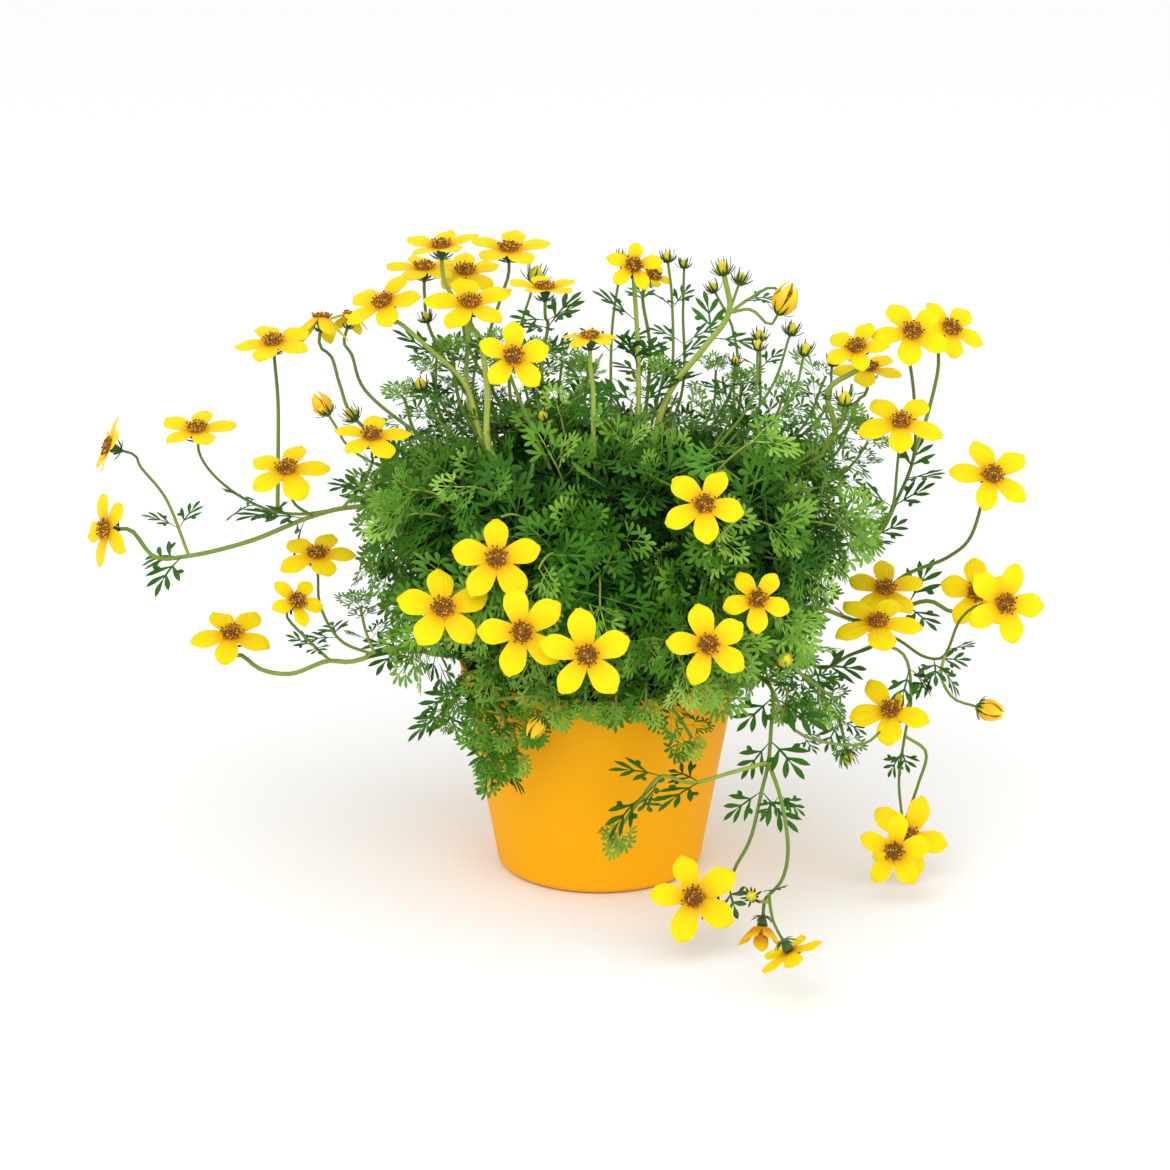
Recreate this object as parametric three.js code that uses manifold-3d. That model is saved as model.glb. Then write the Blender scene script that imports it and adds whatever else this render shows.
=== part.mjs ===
// A potted bidens: a tapered plastic pot of compost, a dome of finely cut foliage,
// leafy stems that arch and trail over the rim, and yellow five-petalled blooms.
//
// Units are millimetres with +Z up. The origin is the middle of the pot's underside,
// and the front of the plant looks along -Y.

import * as THREE from 'three';
import { mergeGeometries, mergeVertices } from 'three/addons/utils/BufferGeometryUtils.js';
import Module from 'manifold-3d';

const wasm = await Module();
wasm.setup();

// Driving sizes.

const POT = {
  rimRadius: 65,
  baseRadius: 47,
  height: 100,
  corner: 4,
  wall: 2,
  floor: 2.4,
  sides: 24,
  drainHoles: 6,
  drainRadius: 2.5,
  drainCircle: 30,
};

const SOIL = { top: 90, gap: 0.95, crown: 2.5, holeDepth: 7, holeRoom: 3.2, sides: 14 };

// The core of the foliage. slope: how far it falls for each millimetre to the right.
// stalkDepth: how far a stalk runs on towards its centre.
const CORE = {
  centre: [2, -2, 150],
  reach: [60, 50, 42],
  slope: 0.12,
  roughness: 0.28,
  stalkDepth: 0.5,
};

const BLOOM = {
  across: 38,
  thickness: 0.7,
  petals: 5,
  discRadius: 5,
  discHeight: 2.6,
  curl: 1.6,
};

const CALYX = { length: 6.5, gap: 0.5, sides: 4, spread: 4.4, shut: 3 };

const STEM = { thin: 1.0, stalk: 1.25, shoot: 1.5, thick: 1.9, step: 24 };

const LEAF = { thickness: 0.65, droop: 0.16, clearance: 0.4, rootShare: 0.16, rootHalf: 0.45 };

// The view.
// Places on the plant are given as they are seen from the front: across and down in
// a square view 1170 units wide, with the depth behind the pot's middle in millimetres.

const VIEW = { middle: 585, focal: 4117, distance: 1800, side: -6.7, aimHeight: 133.9 };
VIEW.tilt = THREE.MathUtils.degToRad(17.81);
VIEW.eye = new THREE.Vector3(
  VIEW.side,
  -VIEW.distance,
  VIEW.aimHeight + VIEW.distance * Math.tan(VIEW.tilt),
);

function sightLine(across, down) {
  const a = (across - VIEW.middle) / VIEW.focal;
  const b = (VIEW.middle - down) / VIEW.focal;
  return new THREE.Vector3(
    a,
    Math.cos(VIEW.tilt) + b * Math.sin(VIEW.tilt),
    -Math.sin(VIEW.tilt) + b * Math.cos(VIEW.tilt),
  );
}

// The point seen at (across, down) that lies at the given depth.
function seen([across, down, depth]) {
  const line = sightLine(across, down);
  return VIEW.eye.clone().addScaledVector(line, (depth + VIEW.distance) / line.y);
}

// The point seen at (across, down) on the plane through a centre.
function seenOnPlane([across, down], centre, normal) {
  const line = sightLine(across, down);
  const reach = normal.dot(centre.clone().sub(VIEW.eye)) / normal.dot(line);
  return VIEW.eye.clone().addScaledVector(line, reach);
}

// A direction that is turned from the viewer to the right and raised from level.
function facing(turn, rise) {
  const t = THREE.MathUtils.degToRad(turn);
  const r = THREE.MathUtils.degToRad(rise);
  return new THREE.Vector3(
    Math.cos(r) * Math.sin(t),
    -Math.cos(r) * Math.cos(t),
    Math.sin(r),
  );
}

// A repeatable draw between 0 and 1 for the item and the use.
function draw(item, use) {
  const value = Math.sin(item * 127.1 + use * 311.7) * 43758.5453;
  return value - Math.floor(value);
}

// The blooms.
// at: the disc's centre in the view. turn, rise: where the bloom faces.
// tip: a petal's tip in the view. lift: how far the petals rise from flat, in degrees.

const BLOOMS = {
  1: { at: [441, 247, 15], turn: -20, rise: 82, tip: [405, 243], across: 36, lift: 14 },
  2: { at: [509, 250, 35], turn: 10, rise: 80, tip: [555, 247], across: 40, lift: 8 },
  3: { at: [424, 269, 48], turn: 0, rise: 84, tip: [390, 268], across: 36, lift: 5 },
  4: { at: [465, 272, 66], turn: 10, rise: 72, tip: [462, 252], across: 36, lift: 5 },
  5: { at: [384, 303, 8], turn: -40, rise: 58, tip: [355, 322], across: 38, lift: 2 },
  6: { at: [470, 304, -12], turn: 0, rise: 68, tip: [425, 300], across: 42, lift: 3 },
  7: { at: [273, 343, 20], turn: -10, rise: 76, tip: [236, 345], across: 38, lift: 5 },
  8: { at: [321, 320, 60], turn: 175, rise: 66, tip: [293, 322], across: 34, lift: -42 },
  9: { at: [350, 318, 78], turn: 160, rise: 52, tip: [352, 305], across: 22, lift: -30 },
  10: { at: [545, 289, -4], turn: 0, rise: 88, tip: [516, 288], across: 32, lift: 14 },
  11: { at: [513, 357, -48], turn: 15, rise: 30, tip: [512, 325], across: 34, lift: 10 },
  12: { at: [590, 338, -32], turn: 0, rise: 86, tip: [563, 336], across: 26, lift: 4 },
  13: { at: [634, 266, 12], turn: 0, rise: 42, tip: [638, 243], across: 26, lift: 5 },
  14: { at: [653, 276, 40], turn: 40, rise: 55, tip: [662, 266], across: 18, lift: 20 },
  15: { at: [912, 333, 8], turn: 5, rise: 52, tip: [892, 306], across: 38, lift: 0 },
  16: { at: [950, 329, 44], turn: 30, rise: 48, tip: [968, 306], across: 34, lift: 3 },
  17: { at: [857, 348, 0], turn: -20, rise: 58, tip: [830, 333], across: 31, lift: 5 },
  18: { at: [868, 369, 34], turn: 10, rise: 80, tip: [830, 371], across: 34, lift: 6 },
  19: { at: [901, 423, -15], turn: 0, rise: 62, tip: [860, 430], across: 40, lift: 0 },
  20: { at: [992, 476, 0], turn: 15, rise: 50, tip: [977, 443], across: 40, lift: 3 },
  21: { at: [197, 430, 10], turn: -10, rise: 76, tip: [164, 422], across: 36, lift: 8 },
  22: { at: [110, 447, 26], turn: -78, rise: 22, tip: [128, 430], across: 30, lift: 10 },
  23: { at: [107, 529, -6], turn: -55, rise: 12, tip: [100, 489], across: 36, lift: 4 },
  24: { at: [287, 470, -18], turn: -5, rise: 65, tip: [300, 443], across: 39, lift: 0 },
  25: { at: [372, 437, -32], turn: 5, rise: 72, tip: [377, 415], across: 37, lift: 3 },
  26: { at: [317, 555, -20], turn: 0, rise: 72, tip: [328, 537], across: 37, lift: 3 },
  27: { at: [296, 602, -52], turn: 35, rise: 45, tip: [282, 588], across: 27, lift: 8 },
  28: { at: [232, 635, -26], turn: 0, rise: 68, tip: [192, 641], across: 39, lift: 2 },
  29: { at: [443, 609, -92], turn: 5, rise: 45, tip: [440, 571], across: 39, lift: 2 },
  30: { at: [497, 559, -86], turn: 0, rise: 38, tip: [497, 518], across: 40, lift: 0 },
  31: { at: [522, 632, -112], turn: 0, rise: 22, tip: [510, 591], across: 41, lift: 0 },
  32: { at: [587, 655, -124], turn: 0, rise: 22, tip: [583, 614], across: 41, lift: 0 },
  33: { at: [704, 505, -92], turn: 0, rise: 42, tip: [722, 476], across: 37, lift: 2 },
  34: { at: [757, 600, -88], turn: 0, rise: 40, tip: [778, 571], across: 31, lift: 6 },
  35: { at: [708, 645, -104], turn: 5, rise: 22, tip: [698, 612], across: 37, lift: 2 },
  36: { at: [886, 590, 12], turn: 0, rise: 64, tip: [885, 562], across: 38, lift: 3 },
  37: { at: [877, 623, -32], turn: 0, rise: 68, tip: [832, 635], across: 42, lift: 0 },
  38: { at: [977, 593, 18], turn: -5, rise: 35, tip: [975, 556], across: 36, lift: 5 },
  39: { at: [1004, 603, -20], turn: 20, rise: 18, tip: [1018, 560], across: 40, lift: 3 },
  40: { at: [890, 711, -40], turn: -5, rise: 52, tip: [868, 681], across: 38, lift: 2 },
  41: { at: [895, 851, -62], turn: -10, rise: 12, tip: [862, 838], across: 34, lift: 3 },
  42: { at: [908, 837, -30], turn: 15, rise: 24, tip: [922, 803], across: 40, lift: 2 },
  43: { at: [694, 898, -118], turn: 0, rise: 40, tip: [687, 855], across: 37, lift: 2 },
  44: { at: [762, 928, -147], turn: -10, rise: -52, tip: [762, 950], across: 28, lift: 38 },
  45: { at: [789, 951, -174], turn: 90, rise: -62, tip: [762, 970], across: 31, lift: 12 },
};

// The stems.
// root: where the stem stands in the compost (x, y). inside: points in millimetres.
// path: points in the view. Each stem ends in a bloom, in a bud, or in a leaf tuft.
// A stem without a root starts on the stem before it that passes its first point.
// pairs: the places of its leaf pairs along it, from 0 to 1. leaf: a leaf's length.

const SHOOTS = {
  shoot_left_long: [
    { root: [-50, 5], inside: [[-51, 5, 101], [-62, 6, 108], [-82, 6, 121], [-97, 4, 144]],
      path: [[380, 510, 2], [345, 508, 2], [310, 517, 1], [250, 541, 0], [188, 556, -4],
        [155, 557, -6]],
      bloom: 23, thickness: STEM.shoot, pairs: [0.45, 0.84], leaf: 25 },
    { path: [[188, 556, -4], [165, 497, 12], [140, 466, 22]], bloom: 22, thickness: STEM.thin },
    { path: [[345, 508, 2], [300, 514, 6], [270, 510, 8], [238, 495, 10], [211, 472, 10]],
      bloom: 21, thickness: STEM.thin, pairs: [0.3], leaf: 22 },
    { path: [[280, 512, 8], [278, 470, 14], [278, 400, 20]], bloom: 7, thickness: STEM.stalk },
    { path: [[310, 517, 1], [294, 503, -12]], bloom: 24, thickness: STEM.thin },
    { path: [[345, 508, 2], [364, 482, -22], [373, 460, -30]], bloom: 25,
      thickness: STEM.thin, pairs: [0.5], leaf: 20 },
  ],
  shoot_left_low: [
    { root: [-47, -17], inside: [[-48, -17.5, 101], [-59, -23, 106], [-75, -28, 110]],
      path: [[405, 648, -30], [375, 655, -32], [350, 662, -34], [328, 661, -33],
        [290, 674, -30], [260, 669, -28], [241, 655, -24]],
      bloom: 28, thickness: STEM.shoot, pairs: [0.4], leaf: 24 },
    { path: [[328, 661, -33], [308, 640, -44]], bloom: 27, thickness: STEM.thin,
      pairs: [0.3], leaf: 16 },
    { path: [[375, 655, -32], [340, 640, -22], [320, 605, -18]], bloom: 26,
      thickness: STEM.thin, pairs: [0.35], leaf: 18 },
  ],
  shoot_left_rim: [
    { root: [-41, -31], inside: [[-42, -32, 101], [-51, -39, 106], [-63, -44, 104]],
      path: [[452, 694, -48], [440, 706, -46], [428, 722, -44]],
      thickness: STEM.shoot, pairs: [0.5, 0.72, 0.92], leaf: 30, tuft: 24 },
    { inside: [[-51, -39, 106], [-54, -53, 105]],
      path: [[478, 715, -66], [495, 745, -70], [505, 775, -70]],
      thickness: STEM.stalk, pairs: [0.45, 0.8], leaf: 27, tuft: 22 },
    { path: [[495, 745, -70], [520, 745, -80], [540, 738, -86]], thickness: STEM.thin,
      bud: 7 },
  ],
  shoot_front: [
    { root: [13, -45], inside: [[13, -45.2, 104], [17, -57, 108], [21, -70, 106]],
      path: [[655, 700, -78], [675, 712, -80], [692, 738, -80]],
      thickness: STEM.stalk, pairs: [0.5, 0.82], leaf: 27, tuft: 20 },
    { inside: [[17, -58, 106], [6, -68, 106]], path: [[600, 702, -76], [583, 702, -80]],
      thickness: STEM.thin, pairs: [0.5], leaf: 20, bud: 8 },
  ],
  shoot_hanging: [
    { root: [44, -27], inside: [[45, -28, 101], [55, -35, 106], [69, -46, 107]],
      path: [[772, 690, -56], [771, 730, -68], [768, 765, -80], [762, 790, -88],
        [750, 840, -102], [735, 868, -106], [728, 886, -106]],
      bloom: 43, thickness: STEM.stalk, pairs: [0.48, 0.84], leaf: 25 },
    { path: [[768, 765, -80], [781, 800, -94], [788, 850, -114], [782, 880, -130],
      [768, 896, -142]],
      bloom: 44, thickness: STEM.stalk, pairs: [0.8], leaf: 15 },
    { path: [[768, 896, -142], [776, 911, -160], [782, 928, -172]], bloom: 45,
      thickness: STEM.thin },
    { path: [[768, 896, -142], [758, 893, -138], [751, 896, -134]], thickness: STEM.thin,
      bud: 7 },
    { path: [[768, 765, -80], [730, 773, -90], [690, 783, -92], [662, 776, -90],
      [640, 800, -86], [620, 828, -82]],
      thickness: STEM.stalk, pairs: [0.5, 0.85], leaf: 26, tuft: 20 },
    { path: [[772, 690, -56], [795, 730, -62], [835, 744, -62], [870, 744, -60]],
      thickness: STEM.stalk, pairs: [0.4, 0.7], leaf: 26, tuft: 20 },
  ],
  shoot_right_low: [
    { root: [51, -9], inside: [[51.4, -9.2, 101], [63, -13, 106], [82, -19, 106]],
      path: [[815, 690, -26], [838, 718, -32], [846, 750, -36]],
      thickness: STEM.stalk, pairs: [0.5, 0.8], leaf: 27, tuft: 20 },
  ],
  shoot_right: [
    { root: [53, 6], inside: [[54, 6, 101], [65, 4, 106], [86, 0, 106]],
      path: [[820, 668, -8], [850, 655, -18]],
      bloom: 37, thickness: STEM.stalk, pairs: [0.6], leaf: 26 },
    { path: [[850, 655, -18], [880, 645, -10], [904, 655, -10], [911, 700, -14],
      [905, 735, -22], [899, 780, -36], [902, 825, -50]],
      bloom: 41, thickness: STEM.thin, pairs: [0.28, 0.56], leaf: 18 },
    { path: [[911, 700, -14], [900, 722, -26]], bloom: 40, thickness: STEM.thin },
    { path: [[905, 735, -22], [926, 752, -18], [918, 785, -16]], bloom: 42,
      thickness: STEM.thin },
  ],
  shoot_right_mid: [
    { root: [51, 20], inside: [[52, 20.5, 101], [61, 23, 107], [76, 26, 110], [100, 34, 112]],
      path: [[866, 622, 38], [900, 609, 38], [930, 601, 32], [953, 612, 28]],
      bloom: 38, thickness: STEM.shoot, pairs: [0.5, 0.72], leaf: 24 },
    { path: [[866, 622, 38], [902, 642, 12], [925, 657, 2], [943, 657, -4], [960, 620, -6],
      [976, 606, -8]], bloom: 39, thickness: STEM.thin, pairs: [0.55], leaf: 20 },
    { path: [[943, 657, -4], [941, 675, -5], [953, 698, -8], [978, 707, -10]],
      thickness: STEM.thin, pairs: [0.2], leaf: 18, bud: 12 },
    { path: [[866, 622, 38], [875, 612, 24]], bloom: 36, thickness: STEM.thin },
    { path: [[866, 622, 38], [898, 580, 36], [948, 557, 20], [970, 538, 10]],
      bloom: 20, thickness: STEM.stalk, pairs: [0.4], leaf: 22 },
  ],
  shoot_right_high: [
    { root: [44, 32], inside: [[45, 33, 101], [53, 39, 107], [68, 45, 112], [88, 47, 122],
      [108, 42, 138]],
      path: [[877, 535, 30], [897, 500, 24], [914, 455, 18], [914, 395, 12]],
      bloom: 15, thickness: STEM.stalk, pairs: [0.52, 0.68], leaf: 22 },
    { path: [[914, 455, 18], [926, 420, 28], [938, 370, 42]], bloom: 16,
      thickness: STEM.stalk },
    { path: [[877, 535, 30], [893, 505, 6], [897, 470, -8]], bloom: 19,
      thickness: STEM.thin, pairs: [0.4], leaf: 20 },
  ],
  shoot_back_left: [
    { root: [-26, 44], inside: [[-26.5, 45.5, 101], [-33, 57, 106], [-44, 78, 108],
      [-54, 92, 96], [-58, 98, 78]],
      thickness: STEM.shoot, pairs: [0.5, 0.8], leaf: 32, tuft: 25 },
  ],
  shoot_back_right: [
    { root: [24, 45], inside: [[24.5, 46, 101], [31, 58, 106], [43, 80, 109],
      [56, 92, 102], [66, 98, 88]],
      thickness: STEM.shoot, pairs: [0.5, 0.8], leaf: 32, tuft: 25 },
  ],
};

// The stalks that stand in the foliage dome. from: a point inside the dome's core.

const STALKS = [
  { from: [-40, 8, 188], path: [[446, 360, 10], [448, 290, 14]], bloom: 1 },
  { from: [-30, 25, 188], path: [[486, 370, 24], [500, 300, 34]], bloom: 2, pairs: [0.3], leaf: 22 },
  { from: [-52, 38, 178], path: [[430, 330, 46]], bloom: 3 },
  { from: [-28, 48, 180], path: [[466, 340, 62]], bloom: 4 },
  { from: [-48, 2, 184], path: [[425, 372, 2], [400, 330, 8]], bloom: 5 },
  { from: [-40, -20, 188], path: [[468, 400, -14], [472, 345, -8]], bloom: 6 },
  { from: [-62, 32, 172], path: [[356, 420, 38], [340, 385, 50], [331, 356, 58]], bloom: 8 },
  { from: [-44, 36, 170], path: [[365, 390, 56], [352, 355, 60]], bloom: 9 },
  { from: [-14, 8, 196], path: [[542, 380, 8], [548, 325, 8]], bloom: 10, pairs: [0.72], leaf: 16 },
  { from: [-26, -30, 190], path: [[524, 410, -32]], bloom: 11 },
  { from: [2, -22, 194], path: [[593, 430, -26], [592, 380, -30]], bloom: 12 },
  { from: [24, 8, 192], path: [[638, 400, 12], [637, 330, 18]], bloom: 13, pairs: [0.4], leaf: 22 },
  { from: [30, 26, 190], path: [[650, 350, 38]], bloom: 14, pairs: [0.55], leaf: 18 },
  { from: [70, 4, 166], path: [[833, 440, 4], [828, 390, 4]], bloom: 17, thickness: STEM.thick },
  { from: [70, 14, 164], path: [[846, 430, 24], [858, 400, 32]], bloom: 18 },
  { from: [34, 4, 190], path: [[668, 395, 4], [702, 350, 6], [729, 312, 8], [724, 275, 10]],
    thickness: STEM.thick, pairs: [0.5], leaf: 24, bud: 8 },
  { path: [[729, 312, 8], [739, 284, 16]], thickness: STEM.thin, bud: 7 },
  { path: [[729, 312, 8], [752, 310, -2], [770, 325, -4], [779, 312, -5]],
    thickness: STEM.thin, bud: 14 },
  { from: [46, 12, 184], path: [[735, 380, 20], [733, 330, 26], [715, 292, 28]],
    thickness: STEM.thin, bud: 6 },
  { from: [52, 0, 180], path: [[770, 390, 0], [790, 335, 2]], thickness: STEM.thin,
    pairs: [0.55], leaf: 18, bud: 7 },
  { from: [56, -10, 178], path: [[790, 400, -14], [804, 355, -16]], thickness: STEM.thin, bud: 7 },
  { from: [40, -16, 188], path: [[752, 400, -20], [758, 350, -22]], thickness: STEM.thin, bud: 6 },
  { from: [64, 16, 170], path: [[825, 410, 22], [832, 366, 24]], thickness: STEM.thin, bud: 6 },
  { from: [66, -6, 168], path: [[838, 430, -12], [844, 405, -14]], thickness: STEM.thin, bud: 8 },
  { from: [-62, 10, 172], path: [[352, 450, 12], [335, 425, 16], [328, 414, 18]],
    thickness: STEM.thin, bud: 11 },
  { from: [-64, 22, 170], path: [[366, 430, 26], [356, 420, 28]], thickness: STEM.thin, bud: 8 },
  { from: [-46, -8, 184], path: [[430, 410, -6], [422, 390, -6]], thickness: STEM.thin, bud: 7 },
  { from: [-10, 20, 196], path: [[520, 350, 24], [534, 282, 26]], thickness: STEM.thin, bud: 9 },
  { from: [10, 22, 196], path: [[612, 330, 28], [622, 262, 30]], thickness: STEM.thin,
    pairs: [0.6], leaf: 20, bud: 6 },
  { from: [-8, -20, 196], path: [[545, 420, -26]], thickness: STEM.thin, bud: 6 },
  { from: [-40, -42, 142], path: [[452, 640, -74]], bloom: 29 },
  { from: [-32, -46, 162], path: [[496, 575, -76]], bloom: 30 },
  { from: [-22, -50, 138], path: [[524, 650, -84]], bloom: 31 },
  { from: [-2, -54, 136], path: [[588, 672, -90]], bloom: 32 },
  { from: [48, -50, 172], path: [[704, 515, -74]], bloom: 33 },
  { from: [52, -36, 148], path: [[760, 610, -68]], bloom: 34 },
  { from: [38, -46, 140], path: [[708, 660, -84]], bloom: 35 },
  { from: [56, -26, 142], path: [[782, 668, -66], [785, 662, -78]], thickness: STEM.thin, bud: 9 },
];

// The stems that carry the dome: they stand in the compost and end inside the core.
const TRUNKS = [[20, 12], [-22, 10], [-14, -16], [12, -14]];

// Solids.

// Turns a closed geometry into a solid: corners merged, faces outwards.
function solidOf(geometry) {
  const bare = new THREE.BufferGeometry();
  bare.setAttribute('position', geometry.getAttribute('position').clone());
  if (geometry.index) bare.setIndex(geometry.index.clone());
  const merged = mergeVertices(bare, 1e-4);
  const points = merged.getAttribute('position').array;
  const corners = [];
  let volume = 0;
  const a = new THREE.Vector3();
  const b = new THREE.Vector3();
  const c = new THREE.Vector3();
  for (let i = 0; i < merged.index.count; i += 3) {
    const [p, q, r] = merged.index.array.slice(i, i + 3);
    if (p === q || q === r || r === p) continue;
    corners.push(p, q, r);
    a.fromArray(points, p * 3);
    b.fromArray(points, q * 3);
    c.fromArray(points, r * 3);
    volume += a.dot(b.cross(c));
  }
  if (volume < 0) corners.reverse();
  return new wasm.Manifold(new wasm.Mesh({
    numProp: 3,
    vertProperties: new Float32Array(points),
    triVerts: new Uint32Array(corners),
  }));
}

function joined(solids) {
  return solids.reduce((whole, next) => whole.add(next));
}

function meshOf(name, solid, colour, roughness) {
  const surface = solid.getMesh();
  const geometry = new THREE.BufferGeometry();
  geometry.setAttribute('position', new THREE.BufferAttribute(surface.vertProperties, 3));
  geometry.setIndex(new THREE.BufferAttribute(surface.triVerts, 1));
  geometry.computeVertexNormals();
  const material = new THREE.MeshStandardMaterial({ color: colour, roughness, metalness: 0 });
  const mesh = new THREE.Mesh(geometry, material);
  mesh.name = name;
  return mesh;
}

// A profile of [radius, height] pairs from axis to axis, turned about the upright axis.
function turned(profile, sides) {
  const points = profile.map(([radius, height]) => new THREE.Vector2(radius, height));
  return new THREE.LatheGeometry(points, sides).rotateX(Math.PI / 2).rotateZ(Math.PI / 2);
}

function reshape(geometry, change) {
  const position = geometry.getAttribute('position');
  const point = new THREE.Vector3();
  for (let i = 0; i < position.count; i += 1) {
    point.fromBufferAttribute(position, i);
    change(point);
    position.setXYZ(i, point.x, point.y, point.z);
  }
  return geometry;
}

function frameAt(origin, forward, up) {
  const x = forward.clone().normalize();
  const y = up.clone().cross(x).normalize();
  const z = x.clone().cross(y);
  return new THREE.Matrix4().makeBasis(x, y, z).setPosition(origin);
}

// The pot and its compost.

function potSolid() {
  const { rimRadius, baseRadius, height, corner, wall, floor, sides } = POT;
  const lean = (rimRadius - baseRadius) / height;
  const profile = [
    [0, 0],
    [baseRadius - corner, 0],
    [baseRadius - corner * 0.3, corner * 0.3],
    [baseRadius + lean * corner, corner],
    [rimRadius, height],
    [rimRadius - wall, height],
    [baseRadius + lean * (floor + 3) - wall, floor + 3],
    [baseRadius - corner - wall, floor],
    [0, floor],
  ];
  const drains = [];
  for (let i = 0; i < POT.drainHoles; i += 1) {
    const angle = (i / POT.drainHoles) * 2 * Math.PI;
    const drain = new THREE.CylinderGeometry(POT.drainRadius, POT.drainRadius, 12, 6);
    drain.rotateX(Math.PI / 2);
    drain.translate(POT.drainCircle * Math.cos(angle), POT.drainCircle * Math.sin(angle), 0);
    drains.push(solidOf(drain));
  }
  return solidOf(turned(profile, sides)).subtract(joined(drains));
}

// The compost fills the pot, crowned a little and rough on top.
function soilSolid(stems) {
  const { rimRadius, baseRadius, height, corner, wall, floor } = POT;
  const lean = (rimRadius - baseRadius) / height;
  const innerRadius = (z) => baseRadius + lean * z - wall - SOIL.gap;
  const bottom = floor + SOIL.gap;
  const edge = SOIL.top - 1.5;
  const profile = [
    [0, bottom],
    [baseRadius - corner - wall - 1, bottom],
    [innerRadius(bottom + 3), bottom + 3],
    [innerRadius(edge), edge],
    [innerRadius(edge) * 0.62, SOIL.top],
    [0, SOIL.top + SOIL.crown * 0.4],
  ];
  const body = reshape(turned(profile, SOIL.sides), (point) => {
    if (point.z > SOIL.top - 0.5) {
      const wave = Math.sin(point.x * 0.31) * Math.cos(point.y * 0.27 + 1);
      point.z += wave * SOIL.crown * 0.4;
    }
  });
  const holes = stems.map(({ x, y, radius }) => {
    const depth = SOIL.holeDepth + 0.6;
    const hole = new THREE.CylinderGeometry(radius + SOIL.holeRoom, radius + SOIL.holeRoom, 2 * depth, 4);
    hole.rotateX(Math.PI / 2);
    hole.translate(x, y, SOIL.top);
    return solidOf(hole);
  });
  return solidOf(body).subtract(joined(holes));
}

// A bloom.

const DISC_SIDES = 6;

// Half widths of a petal at distances from the disc's centre, both as shares of the
// bloom's radius.
const PETAL = [
  { out: 0.58, half: 0.30 },
  { out: 0.96, half: 0.13 },
];

// The five petals as one star outline. Petals differ a little in length and place.
function petalStar(number, radius, notchRadius) {
  const outline = [];
  const turn = (2 * Math.PI) / BLOOM.petals;
  for (let petal = 0; petal < BLOOM.petals; petal += 1) {
    const item = number * 10 + petal;
    const middle = petal * turn + (draw(item, 1) - 0.5) * 0.16;
    const reach = radius * (1 + (draw(item, 2) - 0.5) * 0.1);
    const place = (out, side) => {
      const x = reach * out;
      const y = reach * side;
      outline.push(new THREE.Vector2(
        x * Math.cos(middle) - y * Math.sin(middle),
        x * Math.sin(middle) + y * Math.cos(middle),
      ));
    };
    const notch = (petal - 0.5) * turn;
    outline.push(new THREE.Vector2(Math.cos(notch), Math.sin(notch)).multiplyScalar(notchRadius));
    PETAL.forEach(({ out, half }) => place(out, -half));
    PETAL.toReversed().forEach(({ out, half }) => place(out, half));
  }
  return outline;
}

function bloomFrame(number) {
  const { at, turn, rise, tip } = BLOOMS[number];
  const centre = seen(at);
  const normal = facing(turn, rise);
  const first = seenOnPlane(tip, centre, normal).sub(centre);
  if (first.dot(seen([tip[0], tip[1], at[2]]).sub(centre)) < 0) first.negate();
  return { centre, normal, matrix: frameAt(centre, first, normal) };
}

// The petals are a thin blade with a round opening on its upper face, and the disc's
// ring of corners is that opening's edge, so both close into one body.
function bloomSolid(number) {
  const { across = BLOOM.across, lift } = BLOOMS[number];
  const radius = across / 2;
  const size = Math.sqrt(across / BLOOM.across);
  const discRadius = BLOOM.discRadius * size;
  const rise = THREE.MathUtils.degToRad(lift);
  const depth = BLOOM.thickness / Math.max(0.6, Math.cos(rise));
  const outline = petalStar(number, radius, discRadius * 1.1);

  const blade = new THREE.ExtrudeGeometry(new THREE.Shape(outline), {
    depth, bevelEnabled: false,
  });
  const [caps, sides] = blade.groups;
  const edge = new THREE.BufferGeometry();
  const edgeCorners = blade.getAttribute('position').array
    .slice(sides.start * 3, (sides.start + sides.count) * 3);
  edge.setAttribute('position', new THREE.BufferAttribute(edgeCorners, 3));
  const under = new THREE.BufferGeometry();
  const underCorners = blade.getAttribute('position').array
    .slice(caps.start * 3, (caps.start + caps.count / 2) * 3);
  under.setAttribute('position', new THREE.BufferAttribute(underCorners, 3));

  const ring = [];
  for (let i = 0; i < DISC_SIDES; i += 1) {
    const angle = (i / DISC_SIDES) * 2 * Math.PI;
    ring.push(new THREE.Vector2(discRadius * Math.cos(angle), discRadius * Math.sin(angle)));
  }
  const face = new THREE.Shape(outline);
  face.holes.push(new THREE.Path(ring));
  const upper = new THREE.ShapeGeometry(face).toNonIndexed().translate(0, 0, depth);

  const height = BLOOM.discHeight * size;
  const disc = turned([
    [discRadius, depth],
    [discRadius * 0.84, height],
    [0, height + 0.9],
  ], DISC_SIDES).toNonIndexed();
  [upper, disc].forEach((part) => {
    part.deleteAttribute('normal');
    part.deleteAttribute('uv');
  });
  const whole = mergeGeometries([under, edge, upper, disc]);
  reshape(whole, (point) => {
    const out = Math.hypot(point.x, point.y);
    if (out < 0.01) return;
    const past = Math.max(0, out - discRadius);
    const petal = Math.round((Math.atan2(point.y, point.x) / (2 * Math.PI)) * BLOOM.petals);
    const own = rise + (draw(number * 10 + ((petal + 5) % 5), 3) - 0.5) * 0.16;
    const drawn = (out - past + past * Math.cos(own)) / out;
    const spoke = Math.round((Math.atan2(point.y, point.x) / Math.PI) * (DISC_SIDES / 2));
    if (point.z > height - 0.1) point.z += spoke % 2 ? 0.5 : -0.3;
    point.x *= drawn;
    point.y *= drawn;
    point.z += past * Math.sin(own) - BLOOM.curl * (past / (radius - discRadius)) ** 3;
  });
  return solidOf(whole).transform(bloomFrame(number).matrix.elements);
}

// Stems, buds and leaves.

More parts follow.
